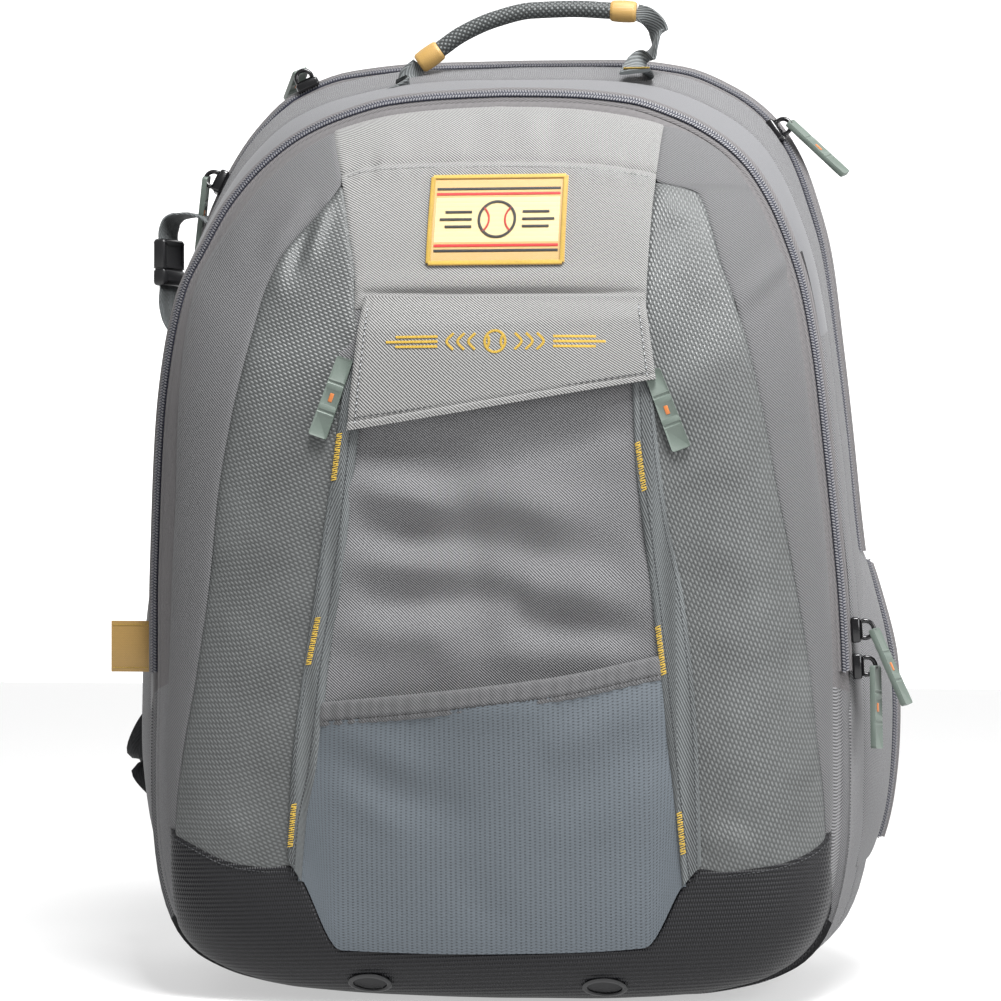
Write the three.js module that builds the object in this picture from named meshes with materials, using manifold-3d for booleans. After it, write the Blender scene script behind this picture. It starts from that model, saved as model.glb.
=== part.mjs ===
// A baseball backpack: a soft two-compartment bag with a boot base, a webbed front panel, side pockets
// for bats, padded shoulder straps and a grab handle. Millimetres, +Z up, front towards -Y, on its base.
import * as THREE from 'three';
import { mergeVertices } from 'three/addons/utils/BufferGeometryUtils.js';
import Module from 'manifold-3d';

const wasm = await Module();
wasm.setup();

// Driving sizes of the body
const zipHalfWidth = 181;
const zipTop = 472;
const frontZipForward = 62;
const zipDepth = -frontZipForward;
const frontBulge = 52;
const mainZipDepth = 5;
const flankStep = 11;
const mainZipRise = 22;
const rearDepth = 124;
const rearHalfWidth = 152;
const bottomHeight = 2.8;
const basePlate = 2.5;
const topLean = 42;
const leanStart = 300;
const underSweep = 25;
const underHeight = 22;

// Cloth, clearances and zips
const bodyWall = 2.6;
const backPadding = 9;
const skin = 1.2;
const lining = 1.3;
const seam = 1;
const clearance = 0.35;
const chainWidth = 6.6;
const chainThickness = 2.6;
const tapeGap = 1.2;
const frontZipStart = 160;
const mainZipStart = 226;
const aroundLoop = 44;

// Front panel pieces
const webbingThickness = 1.6;
const webbingWidth = 19;
const flapThickness = 2.4;
const pocketGape = 13;
const pocketCloth = 1.1;
const bindingWidth = 11.5;
const bindingThickness = 1;
const patchWidth = 68;
const patchHeight = 45;
const patchThickness = 2;
const eyeletRadius = 11.5;
const eyeletWall = 2.4;

// Handle, straps and pulls
const gripDiameter = 9;
const ferruleDiameter = 11;
const ferruleLength = 12;
const handleSpan = 96;
const handleLift = 6;
const handleRise = 21.5;
const handleSetback = 18;
const strapWidth = 64;
const strapThickness = 13;
const strapSpacing = 62;
const pullLength = 42;
const pullWidth = 8.4;
const pullThickness = 3;
const ringRadius = 5.2;
const ringWire = 1.5;
const sliderLength = 13;
const sliderWidth = 9;
const sliderHeight = 5;
const sidePocketBulge = 10;
const sidePocketBottom = 66;
const sidePocketSeat = 1.7;
const sidePocketTop = 222;
const sidePocketForward = 40;
const sidePocketRear = 84;
const tagLength = 22;
const tagHeight = 27;
const tagThickness = 1.2;
const tagForward = 46;
const tagPlace = 178;
const cornerDepth = 98;
const adjusterWidth = 30;
const adjusterLength = 22;
const adjusterThickness = 5;
const adjusterReach = 7;
const buckleWidth = 22;
const buckleLength = 26;
const buckleThickness = 8;
const buckleReach = 21;
const retentionSetback = 30;

// Half of the front outline, from the middle of the bottom to the middle of the top, as shares of the
// half width and the height
const outlineShares = [
  [0, 0], [0.3, 0], [0.52, 0.004], [0.68, 0.018], [0.82, 0.055], [0.92, 0.105], [0.975, 0.165],
  [1, 0.24], [1, 0.36], [0.985, 0.46], [0.955, 0.6], [0.93, 0.7], [0.895, 0.777], [0.85, 0.82],
  [0.795, 0.872], [0.7, 0.923], [0.6, 0.953], [0.45, 0.982], [0.25, 0.997], [0, 1],
];

// Front panel lines: [x share of zipHalfWidth, z share of zipTop], from the top down
const frontSeam = [
  [0.43, 0.957], [0.615, 0.918], [0.74, 0.865], [0.81, 0.8], [0.873, 0.7], [0.895, 0.6],
  [0.922, 0.455], [0.932, 0.37], [0.935, 0.25], [0.925, 0.185],
];
const texturedOuter = [
  [0.475, 0.949], [0.447, 0.885], [0.55, 0.85], [0.645, 0.765], [0.7, 0.7], [0.74, 0.63],
  [0.812, 0.46], [0.855, 0.36], [0.885, 0.285], [0.903, 0.2], [0.903, 0.16],
];
const stripOuter = [
  [0.475, 0.949], [0.447, 0.885], [0.42, 0.81], [0.408, 0.755], [0.41, 0.72], [0.44, 0.62],
  [0.49, 0.5], [0.547, 0.335], [0.572, 0.2], [0.574, 0.157],
];
const bootTop = [
  [0, 0.066], [0.42, 0.066], [0.574, 0.157], [0.69, 0.155], [0.77, 0.161], [0.86, 0.175], [0.95, 0.195],
];
const yokeBottom = 0.757;
const yokeTop = 0.945;
const flapCorners = {
  leftTop: [-0.365, 0.752],
  rightTop: [0.425, 0.748],
  rightLow: [0.46, 0.666],
  leftLow: [-0.385, 0.614],
};
const bindingEnds = { left: 0.326, right: 0.376 };
const patchCentre = 0.84;
const eyeletPlace = { x: 0.328, z: 0.026 };

// Named cross sections of the body from the front zip backwards
const sections = [
  { depth: zipDepth, halfWidth: zipHalfWidth, bottom: bottomHeight, top: zipTop, lean: topLean },
  { depth: zipDepth * 0.55, halfWidth: zipHalfWidth + flankStep * 0.65, bottom: bottomHeight,
    top: zipTop + mainZipRise * 0.45, lean: topLean },
  { depth: mainZipDepth, halfWidth: zipHalfWidth + flankStep, bottom: bottomHeight,
    top: zipTop + mainZipRise, lean: topLean * 0.9 },
  { depth: rearDepth * 0.4, halfWidth: zipHalfWidth + flankStep, bottom: bottomHeight,
    top: zipTop + mainZipRise * 1.05, lean: topLean * 0.8 },
  { depth: rearDepth * 0.76, halfWidth: rearHalfWidth * 1.16, bottom: bottomHeight * 3,
    top: zipTop + mainZipRise * 0.75, lean: topLean * 0.5 },
  { depth: rearDepth * 0.95, halfWidth: rearHalfWidth * 1.02, bottom: bottomHeight * 9,
    top: zipTop + mainZipRise * 0.2, lean: topLean * 0.3 },
];

// Colours and finishes
const finish = (colour, roughness, metalness = 0) => {
  return new THREE.MeshStandardMaterial({ color: colour, roughness, metalness });
};
const twill = finish(0x828284, 0.9);
const twillLight = finish(0x98999b, 0.88);
const embossed = finish(0x69706e, 0.55);
const bootCloth = finish(0x2a2b2e, 0.5);
const ripstop = finish(0x737f87, 0.8);
const webbing = finish(0x646c6b, 0.85);
const goldSatin = finish(0xc89a5a, 0.45);
const zipCloth = finish(0x77757a, 0.7);
const blackMetal = finish(0x0c0c0d, 0.3, 0.4);
const blackCloth = finish(0x17181a, 0.9);
const blackPlastic = finish(0x101011, 0.35);
const sageRubber = finish(0x738278, 0.6);
const gripCloth = finish(0x3c4444, 0.7);

const group = new THREE.Group();

function add(name, geometry, material) {
  const mesh = new THREE.Mesh(geometry, material);
  mesh.name = name;
  group.add(mesh);
  return mesh;
}

// Straight interpolation in a table of [value, key] rows whose key falls
function atKey(table, key) {
  const rows = table[0][1] > table[table.length - 1][1] ? table : [...table].reverse();
  for (let i = 1; i < rows.length; i += 1) {
    if (key >= rows[i][1]) {
      const share = (key - rows[i][1]) / (rows[i - 1][1] - rows[i][1]);
      return rows[i][0] + (rows[i - 1][0] - rows[i][0]) * Math.min(1, share);
    }
  }
  return rows[rows.length - 1][0];
}

// Straight interpolation in a table of [key, value] rows whose key rises
function atValue(table, key) {
  for (let i = 1; i < table.length; i += 1) {
    if (key <= table[i][0]) {
      const share = (key - table[i - 1][0]) / (table[i][0] - table[i - 1][0]);
      return table[i - 1][1] + (table[i][1] - table[i - 1][1]) * Math.max(0, share);
    }
  }
  return table[table.length - 1][1];
}

const mix = (a, b, share) => a + (b - a) * share;
const leanAt = (z) => Math.max(0, (z - leanStart) / (zipTop - leanStart)) ** 1.6;

// The half outline as evenly spaced shares, and the closed loop of one section
const outlineCurve = new THREE.SplineCurve(outlineShares.map(([x, z]) => {
  return new THREE.Vector2(x * zipHalfWidth, z * zipTop);
}));
const halfLoop = outlineCurve.getSpacedPoints(aroundLoop / 2).map((p) => {
  return [p.x / zipHalfWidth, p.y / zipTop];
});
const loopShares = [
  ...halfLoop,
  ...halfLoop.slice(1, -1).reverse().map(([x, z]) => [-x, z]),
];

function sectionPoint([x, z], section, inset = 0) {
  const height = section.bottom + inset + z * (section.top - section.bottom - 2 * inset);
  const depth = section.depth + section.lean * leanAt(height);
  return new THREE.Vector3(x * (section.halfWidth - inset), depth, height);
}

// How far a rim stands back from a zip's middle: half a chain beside it, a seam's width below its ends
function zipGap(z, start) {
  const share = THREE.MathUtils.smoothstep(z, start - 8, start);
  return mix(clearance, chainWidth / 2 + tapeGap, share);
}

const sectionLoop = (section, inset = 0) => loopShares.map((share) => sectionPoint(share, section, inset));

// The front dome: depth of the front face at a place in the front view
const domeCentre = zipTop / 2;
const domeEdge = halfLoop.map(([x, z]) => {
  const rise = bottomHeight + z * (zipTop - bottomHeight) - domeCentre;
  return [Math.atan2(rise, x * zipHalfWidth), Math.hypot(x * zipHalfWidth, rise)];
});
const zipPlane = (z) => {
  const under = underSweep * Math.max(0, 1 - z / underHeight) ** 1.5;
  return zipDepth + topLean * leanAt(z) + under;
};

function faceDepth(x, z) {
  const angle = Math.atan2(z - domeCentre, Math.abs(x));
  const reach = Math.min(1, Math.hypot(x, z - domeCentre) / atValue(domeEdge, angle));
  const roundness = 6 - 2.8 * Math.max(0, Math.sin(angle)) ** 2;
  return zipPlane(z) - frontBulge * Math.sqrt(1 - reach ** roundness);
}

// A place on the front face, lifted off it along its normal
function onFront(x, z, lift) {
  const step = 0.5;
  const slopeX = (faceDepth(x + step, z) - faceDepth(x - step, z)) / (2 * step);
  const slopeZ = (faceDepth(x, z + step) - faceDepth(x, z - step)) / (2 * step);
  const normal = new THREE.Vector3(slopeX, -1, slopeZ).normalize();
  return new THREE.Vector3(x, faceDepth(x, z), z).addScaledVector(normal, lift);
}

// A closed solid from an open surface: the surface, its copy one wall further in, and the rim between them
function thicken(points, faces, wall) {
  const normals = points.map(() => new THREE.Vector3());
  for (const [a, b, c] of faces) {
    const normal = points[b].clone().sub(points[a]).cross(points[c].clone().sub(points[a]));
    for (const i of [a, b, c]) normals[i].add(normal);
  }
  const inner = points.map((p, i) => p.clone().addScaledVector(normals[i].normalize(), -wall));
  const count = points.length;
  const triangles = [...faces];
  const edges = new Set(faces.flatMap(([a, b, c]) => [`${a} ${b}`, `${b} ${c}`, `${c} ${a}`]));
  for (const [a, b, c] of faces) {
    triangles.push([a + count, c + count, b + count]);
    for (const [from, to] of [[a, b], [b, c], [c, a]]) {
      if (!edges.has(`${to} ${from}`)) {
        triangles.push([from, from + count, to], [to, from + count, to + count]);
      }
    }
  }
  const geometry = new THREE.BufferGeometry();
  const positions = [...points, ...inner].flatMap((p) => [p.x, p.y, p.z]);
  geometry.setAttribute('position', new THREE.Float32BufferAttribute(positions, 3));
  geometry.setIndex(triangles.flat());
  return geometry;
}

// Faces between rows of points, closed around or open, with an optional last point that closes the middle
function rowFaces(rows, around, pole = false) {
  const width = rows[0].length;
  const faces = [];
  const columns = around ? width : width - 1;
  for (let r = 0; r + 1 < rows.length; r += 1) {
    for (let c = 0; c < columns; c += 1) {
      const a = r * width + c;
      const b = r * width + ((c + 1) % width);
      faces.push([a, b, b + width], [a, b + width, a + width]);
    }
  }
  if (pole) {
    const last = (rows.length - 1) * width;
    for (let c = 0; c < columns; c += 1) {
      faces.push([last + c, last + ((c + 1) % width), rows.length * width]);
    }
  }
  return faces;
}

function shell(rows, wall, { around = false, pole = null, inward = false } = {}) {
  const faces = rowFaces(rows, around, pole !== null);
  const points = pole ? [...rows.flat(), pole] : rows.flat();
  return thicken(points, inward ? faces.map(([a, b, c]) => [a, c, b]) : faces, wall);
}

// A panel of the front face: place(u, v) gives shares of the front sizes for a grid of columns and rows
function frontPanel(place, columns, rows, lift, wall) {
  const grid = [];
  for (let r = 0; r <= rows; r += 1) {
    const row = [];
    for (let c = 0; c <= columns; c += 1) {
      const [x, z] = place(c / columns, r / rows);
      const lifted = typeof lift === 'function' ? lift(c / columns, r / rows) : lift;
      row.push(onFront(x * zipHalfWidth, z * zipTop, lifted + wall));
    }
    grid.push(row);
  }
  return shell(grid, wall);
}

const sidewaysGap = seam / 2 / zipHalfWidth;
const uprightGap = seam / 2 / zipTop;

// Front shell: the domed front half of the front compartment, open at the back
function frontShell() {
  const reaches = [1, 0.985, 0.96, 0.925, 0.87, 0.78, 0.64, 0.46, 0.24];
  const inset = lining;
  const rows = reaches.map((reach) => loopShares.map(([x, z]) => {
    const rise = bottomHeight + z * (zipTop - bottomHeight) - domeCentre;
    const across = x * (zipHalfWidth - inset) * reach;
    const height = domeCentre + rise * reach * (1 - inset / domeCentre);
    const rim = zipPlane(height) - zipGap(height, frontZipStart);
    const depth = reach === 1 ? rim : faceDepth(x * zipHalfWidth * reach, height) + inset;
    return new THREE.Vector3(across, depth, height);
  }));
  const pole = new THREE.Vector3(0, faceDepth(0, domeCentre) + inset, domeCentre);
  return shell(rows, bodyWall, { around: true, pole });
}

// Gusset: the band between the two long zips
function gussetRing() {
  const [front, middle, rear] = sections;
  const rows = [sectionLoop(front), sectionLoop(middle), sectionLoop(rear)];
  rows[0].forEach((p) => { p.y = zipPlane(p.z) + zipGap(p.z, frontZipStart); });
  rows[2].forEach((p) => { p.y -= zipGap(p.z, mainZipStart); });
  return shell(rows, bodyWall, { around: true, inward: true });
}

// Rear shell: the back half of the main compartment with its back panel
function rearShell() {
  const rows = sections.slice(2).map((section) => sectionLoop(section));
  rows[0].forEach((p) => { p.y += zipGap(p.z, mainZipStart); });
  const last = sections[sections.length - 1];
  for (const reach of [0.93, 0.6, 0.3]) {
    rows.push(sectionLoop(last).map((p) => new THREE.Vector3(
      p.x * reach, rearDepth + (p.y - last.depth) * reach, domeCentre + (p.z - domeCentre) * reach)));
  }
  const pole = new THREE.Vector3(0, rearDepth, domeCentre);
  return shell(rows, bodyWall, { around: true, pole, inward: true });
}

// A flat or round profile swept along a path, closed at both ends
function swept(points, width, thickness, across, sides = 8) {
  const curve = new THREE.CatmullRomCurve3(points);
  const steps = Math.max(4, points.length * 2);
  const rings = [];
  for (let i = 0; i <= steps; i += 1) {
    const centre = curve.getPointAt(i / steps);
    const along = curve.getTangentAt(i / steps);
    const face = across(i / steps);
    const side = face.clone().addScaledVector(along, -face.dot(along)).normalize();
    const up = new THREE.Vector3().crossVectors(side, along);
    const ring = [];
    for (let k = 0; k < sides; k += 1) {
      const angle = (k + 0.5) * 2 * Math.PI / sides;
      const square = 1 / Math.cos(Math.PI / sides);
      const wide = typeof width === 'function' ? width(i / steps) : width;
      const x = THREE.MathUtils.clamp(Math.cos(angle) * square * 1.2, -1, 1) * wide / 2;
      const y = THREE.MathUtils.clamp(Math.sin(angle) * square * 1.2, -1, 1) * thickness / 2;
      ring.push(centre.clone().addScaledVector(side, x).addScaledVector(up, y));
    }
    rings.push(ring);
  }
  return closedRings(rings);
}

// A solid through rings of points, with a flat fan over each end
function closedRings(rings) {
  const width = rings[0].length;
  const faces = rowFaces(rings, true);
  const last = (rings.length - 1) * width;
  for (let k = 1; k + 1 < width; k += 1) {
    faces.push([0, k + 1, k], [last, last + k, last + k + 1]);
  }
  const geometry = new THREE.BufferGeometry();
  const positions = rings.flat().flatMap((p) => [p.x, p.y, p.z]);
  geometry.setAttribute('position', new THREE.Float32BufferAttribute(positions, 3));
  geometry.setIndex(faces.flat());
  return turnedOut(geometry);
}

// Turns the faces over where the solid came out inside out
function turnedOut(geometry) {
  const position = geometry.attributes.position;
  const index = Array.from(geometry.index.array);
  const corner = (i) => new THREE.Vector3().fromBufferAttribute(position, index[i]);
  let volume = 0;
  for (let i = 0; i < index.length; i += 3) {
    volume += corner(i).dot(corner(i + 1).cross(corner(i + 2)));
  }
  if (volume < 0) {
    for (let i = 0; i < index.length; i += 3) {
      [index[i + 1], index[i + 2]] = [index[i + 2], index[i + 1]];
    }
    geometry.setIndex(index);
  }
  return geometry;
}

// Zip chain over the arch of one section, from one end to the other
function zipStrip(section, start, plane) {
  const loop = sectionLoop(section);
  const arch = loop.filter((p) => p.z > start + chainWidth);
  const share = (start - section.bottom) / (section.top - section.bottom);
  const end = sectionPoint([atKey(halfLoop.filter(([x]) => x > 0.25), share), share], section);
  const rightSide = arch.filter((p) => p.x >= 0).sort((a, b) => a.z - b.z);
  const leftSide = arch.filter((p) => p.x < 0).sort((a, b) => b.z - a.z);
  const path = [end, ...rightSide, ...leftSide, end.clone().setX(-end.x)];
  path.forEach((p) => { p.y = plane(p); });
  const rings = path.map((p, i) => {
    const along = path[Math.min(i + 1, path.length - 1)].clone().sub(path[Math.max(i - 1, 0)]).normalize();
    const outward = new THREE.Vector3(along.z, 0, -along.x).normalize();
    const depth = new THREE.Vector3(0, chainWidth / 2, 0);
    const rise = outward.multiplyScalar(chainThickness / 2);
    const centre = p.clone().addScaledVector(outward, -0.4);
    return [
      centre.clone().add(depth), centre.clone().add(depth).add(rise), centre.clone().sub(depth).add(rise),
      centre.clone().sub(depth), centre.clone().sub(depth).sub(rise), centre.clone().add(depth).sub(rise),
    ];
  });
  return closedRings(rings);
}

// Half width of the flank at a depth and height, below the height where the top leans
function flank(depth, z) {
  const sides = halfLoop.filter(([x]) => x > 0.25);
  const table = sections.map((section) => {
    const share = (z - section.bottom) / (section.top - section.bottom);
    return [section.depth, section.halfWidth * atKey(sides, share)];
  });
  return atValue(table, depth);
}

// Side pocket: a bulging pocket wall on the flank, open towards the bag
function sidePocket(side, lift, wall) {
  const columns = 7;
  const rows = 8;
  const grid = [];
  for (let r = 0; r <= rows; r += 1) {
    const row = [];
    for (let c = 0; c <= columns; c += 1) {
      const u = c / columns;
      const v = r / rows;
      const z = mix(sidePocketBottom, sidePocketTop, v);
      const front = mix(-sidePocketForward, mainZipDepth, v ** 6);
      const y = mix(front, sidePocketRear - 20 * v ** 3, u);
      const swell = Math.sin(Math.PI * u) ** 0.7 * Math.sin(Math.PI * v) ** 0.6;
      row.push(new THREE.Vector3(side * (flank(y, z) + lift + wall + sidePocketBulge * swell), y, z));
    }
    grid.push(row);
  }
  return shell(grid, wall, { inward: side < 0 });
}

// Chain of the side pocket, lying on its fullest line
function sideZip(side) {
  const rows = 12;
  const rings = [];
  for (let r = 0; r <= rows; r += 1) {
    const v = mix(0.07, 0.93, r / rows);
    const z = mix(sidePocketBottom, sidePocketTop, v);
    const front = mix(-sidePocketForward, mainZipDepth, v ** 6);
    const y = mix(front, sidePocketRear - 20 * v ** 3, 0.55);
    const swell = Math.sin(Math.PI * v) ** 0.6;
    const base = flank(y, z) + sidePocketBulge * swell + skin + sidePocketSeat + clearance;
    const half = chainWidth / 2;
    const outer = base + chainThickness;
    const corners = [[base, -half], [outer, -half * 0.6], [outer, half * 0.6], [base, half]];
    rings.push(corners.map(([x, along]) => new THREE.Vector3(side * x, y + along, z)));
  }
  return closedRings(rings);
}

// Base plate: the flat panel that the bag stands on
function basePanel() {
  const halfWidth = zipHalfWidth * 0.5;
  const front = zipDepth;
  const rear = rearDepth * 0.7;
  const corner = 18;
  const shape = new THREE.Shape();
  shape.moveTo(-halfWidth + corner, front);
  shape.lineTo(halfWidth - corner, front);
  shape.quadraticCurveTo(halfWidth, front, halfWidth, front + corner);
  shape.lineTo(halfWidth, rear - corner);
  shape.quadraticCurveTo(halfWidth, rear, halfWidth - corner, rear);
  shape.lineTo(-halfWidth + corner, rear);
  shape.quadraticCurveTo(-halfWidth, rear, -halfWidth, rear - corner);
  shape.lineTo(-halfWidth, front + corner);
  shape.quadraticCurveTo(-halfWidth, front, -halfWidth + corner, front);
  return new THREE.ExtrudeGeometry(shape, { depth: basePlate, bevelEnabled: false, curveSegments: 3 });
}

// Body
add('front_shell', frontShell(), twill);
add('gusset_ring', gussetRing(), twill);
add('rear_shell', rearShell(), twill);
add('base_panel', basePanel(), bootCloth);
add('front_zip', zipStrip(sections[0], frontZipStart, (p) => zipPlane(p.z)), zipCloth);
add('main_zip', zipStrip(sections[2], mainZipStart, (p) => p.y), zipCloth);

// Front panels, each side mirrored
for (const [name, side] of [['left', -1], ['right', 1]]) {
  const across = (a, b, u) => side * mix(a + sidewaysGap, b - sidewaysGap, side > 0 ? u : 1 - u);
  add(`border_panel_${name}`, frontPanel((u, v) => {
    const z = mix(0.2 + uprightGap * 2, 0.947, v);
    return [across(atKey(texturedOuter, z), atKey(frontSeam, z), u), z];
  }, 4, 14, 0, skin), twill);
  add(`textured_panel_${name}`, frontPanel((u, v) => {
    const outward = side > 0 ? u : 1 - u;
    const z = mix(mix(0.157, 0.2, outward ** 2) + uprightGap * 2, 0.878, v);
    return [across(atKey(stripOuter, z), atKey(texturedOuter, z), u), z];
  }, 5, 14, 0, skin), embossed);
}
add('yoke_panel', frontPanel((u, v) => {
  const x = mix(-1, 1, u) * (mix(0.408, 0.47, v) - sidewaysGap * 2);
  const top = yokeTop + 0.035 * (1 - (x / 0.47) ** 2);
  return [x, mix(yokeBottom + uprightGap, top, v)];
}, 8, 7, 0, skin), twillLight);
add('centre_panel', frontPanel((u, v) => {
  const z = mix(0.084, yokeBottom - uprightGap, v);
  const half = Math.min(atKey(stripOuter, z), 0.42 + 0.154 * Math.min(1, (z - 0.066) / 0.091));
  return [mix(-1, 1, u) * (half - sidewaysGap * 2), z];
}, 6, 10, 0, skin), twill);
add('base_boot', frontPanel((u, v) => {
  const x = mix(-0.925, 0.925, u);
  const low = atValue(outlineShares.slice(0, 8), Math.abs(x)) + 0.016;
  return [x, mix(low, atValue(bootTop, Math.abs(x)) - uprightGap * 2, v ** 1.4)];
}, 24, 5, clearance * 3, skin), bootCloth);

// Webbing strips, flap, stretch pocket and patch on the front panel
for (const [name, side] of [['left', -1], ['right', 1]]) {
  const width = webbingWidth / zipHalfWidth;
  add(`webbing_strip_${name}`, frontPanel((u, v) => {
    const outward = side > 0 ? u : 1 - u;
    const z = mix(mix(0.135, 0.162, outward), 0.7, v);
    return [side * (atKey(stripOuter, z) - width * (1 - outward)), z];
  }, 2, 16, skin + clearance * 2, webbingThickness), webbing);
}
const overStrips = skin + webbingThickness + clearance * 4;
add('flap', frontPanel((u, v) => {
  const { leftTop, rightTop, leftLow, rightLow } = flapCorners;
  const left = [mix(leftLow[0], leftTop[0], v), mix(leftLow[1], leftTop[1], v)];
  const right = [mix(rightLow[0], rightTop[0], v), mix(rightLow[1], rightTop[1], v)];
  return [mix(left[0], right[0], u), mix(left[1], right[1], u)];
}, 8, 4, (u, v) => mix(overStrips, skin + clearance, Math.max(0, v * 4 - 3)), flapThickness), twill);

function pocketHalf(z) {
  const corner = 0.415 + 0.154 * (z - 0.066) / 0.091;
  return Math.min(atKey(stripOuter, z) - webbingWidth / zipHalfWidth, corner) - sidewaysGap * 2;
}
const pocketLow = 0.082;
const bindingShare = bindingWidth / zipTop;
const pocketTop = (u) => mix(bindingEnds.left, bindingEnds.right, u) - bindingShare;
const pocketLift = (u, v) => skin + clearance * 2 + pocketGape * Math.sin(Math.PI * u) ** 0.8 * v ** 1.3;
add('stretch_pocket', frontPanel((u, v) => {
  const z = mix(pocketLow, pocketTop(u), v);
  return [mix(-1, 1, u) * pocketHalf(z), z];
}, 10, 7, pocketLift, pocketCloth), ripstop);
add('pocket_binding', frontPanel((u, v) => {
  const z = pocketTop(u) + uprightGap + bindingShare * v;
  return [mix(-1, 1, u) * pocketHalf(z), z];
}, 10, 1, (u) => pocketLift(u, 1), bindingThickness), webbing);
add('front_patch', frontPanel((u, v) => [
  0.02 + (u - 0.5) * patchWidth / zipHalfWidth, patchCentre + (v - 0.5) * patchHeight / zipTop,
], 4, 3, skin + clearance, patchThickness), goldSatin);

// Drain eyelets, bent to the boot
for (const [name, side] of [['left', -1], ['right', 1]]) {
  const rows = [eyeletRadius, eyeletRadius - eyeletWall * 1.5].map((radius) => {
    const ring = [];
    for (let k = 0; k < 18; k += 1) {
      const angle = k * Math.PI / 9;
      ring.push(onFront(
        side * eyeletPlace.x * zipHalfWidth + radius * Math.cos(angle),
        eyeletPlace.z * zipTop + radius * 0.34 * Math.sin(angle), skin + clearance * 5 + eyeletWall / 2));
    }
    return ring;
  });
  add(`drain_eyelet_${name}`, shell(rows, eyeletWall / 2, { around: true }), blackPlastic);
}

// Height of the body's top at a place seen from above
function topHeight(x, y) {
  const share = Math.abs(x);
  const heights = sections.map((section) => {
    const upper = halfLoop.filter(([, z]) => z > 0.5).map(([a, z]) => [a * section.halfWidth, z]).reverse();
    const z = section.bottom + atValue(upper, share) * (section.top - section.bottom);
    return [section.depth + section.lean * leanAt(z), z];
  });
  return atValue(heights, y);
}

// Grab handle: a braided grip, a ferrule at each end and the webbing down to the bag
const handleShares = [[-0.5, 0], [-0.36, 0.42], [-0.17, 0.78], [0.04, 0.98], [0.26, 1], [0.5, 0.93]];
const handleCentre = handleSpan * 0.05;
const handleHeight = zipTop + mainZipRise + handleLift;
const handleDepth = mainZipDepth + sections[2].lean - handleSetback;
const handlePoints = handleShares.map(([x, z]) => {
  return new THREE.Vector3(handleCentre + x * handleSpan, handleDepth, handleHeight + z * handleRise);
});
const backwards = new THREE.Vector3(0, 1, 0);
add('handle_grip', swept(handlePoints, gripDiameter, gripDiameter, () => backwards), gripCloth);
const handleCurve = new THREE.CatmullRomCurve3(handlePoints);
const ferruleReach = ferruleLength + clearance * 2;
const anchorShares = { left: [-0.82, -0.165], right: [0.7, -0.06] };
for (const [name, at, sign] of [['left', 0, -1], ['right', 1, 1]]) {
  const along = handleCurve.getTangentAt(at).multiplyScalar(sign);
  const start = handleCurve.getPointAt(at).addScaledVector(along, clearance);
  const ferrule = new THREE.CylinderGeometry(ferruleDiameter / 2, ferruleDiameter / 2, ferruleLength, 14);
  const mesh = add(`handle_ferrule_${name}`, ferrule, goldSatin);
  mesh.position.copy(start).addScaledVector(along, ferruleLength / 2);
  mesh.quaternion.setFromUnitVectors(new THREE.Vector3(0, 1, 0), along);
  const top = start.clone().addScaledVector(along, ferruleReach + clearance * 3);
  const [acrossShare, depthShare] = anchorShares[name];
  const anchor = new THREE.Vector3(handleSpan * acrossShare, handleDepth + handleSpan * depthShare, 0);
  const heightBehind = topHeight(anchor.x, anchor.y + webbingWidth / 2);
  const slope = (heightBehind - topHeight(anchor.x, anchor.y - webbingWidth / 2)) / webbingWidth;
  anchor.z = topHeight(anchor.x, anchor.y) + webbingThickness * 2 + clearance * 6;
  const bow = top.clone().lerp(anchor, 0.4).addScaledVector(along, 5);
  const path = [top, bow, top.clone().lerp(anchor, 0.75).addScaledVector(along, 3), anchor];
  const width = (t) => mix(gripDiameter, webbingWidth, Math.min(1, t * 2.5));
  const face = (t) => new THREE.Vector3(0, 1, slope * t).normalize();
  add(`handle_webbing_${name}`, swept(path, width, webbingThickness * 1.1, face), webbing);
}

// Side pockets with their zips
for (const [name, side] of [['left', -1], ['right', 1]]) {
  add(`side_pocket_${name}`, sidePocket(side, sidePocketSeat, skin), twill);
  add(`side_zip_${name}`, sideZip(side), zipCloth);
}

// Back pad and shoulder straps
function backPad() {
  const last = sections[sections.length - 1];
  const outside = rearDepth + backPadding + clearance * 3;
  const loop = sectionLoop(last).filter((p, i) => i % 2 === 0);
  const rows = [0.84, 0.5].map((reach) => loop.map((p) => new THREE.Vector3(
    p.x * reach, outside + (p.y - last.depth) * reach, domeCentre + (p.z - domeCentre) * reach)));
  const pole = new THREE.Vector3(0, outside, domeCentre);
  return shell(rows, backPadding, { around: true, pole, inward: true });
}
add('back_pad', backPad(), blackCloth);
const strapShares = [
  [0.6, 0.9, 0.12], [0.6, 0.82, 0.55], [0.62, 0.7, 1], [0.85, 0.56, 1], [1.25, 0.46, 0.7], [1.75, 0.38, 0.3],
];
const strapSeat = rearDepth + backPadding + strapThickness / 2 - clearance;
const strapBow = 34;
const sideways = new THREE.Vector3(1, 0, 0);
for (const [name, side] of [['left', -1], ['right', 1]]) {
  const path = strapShares.map(([x, z, out]) => new THREE.Vector3(
    side * strapSpacing * x, strapSeat + topLean * 0.3 * leanAt(z * zipTop) + strapBow * out, z * zipTop));
  add(`shoulder_strap_${name}`, swept(path, strapWidth, strapThickness, () => sideways), blackCloth);
}

// A zip slider with its bail in one solid: z along the chain, y outward
function solidOf(geometry) {
  const bare = geometry.clone();
  bare.deleteAttribute('normal');
  bare.deleteAttribute('uv');
  const merged = mergeVertices(bare, 1e-4);
  return new wasm.Manifold(new wasm.Mesh({
    numProp: 3,
    vertProperties: new Float32Array(merged.attributes.position.array),
    triVerts: new Uint32Array(merged.index.array),
  }));
}

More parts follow.
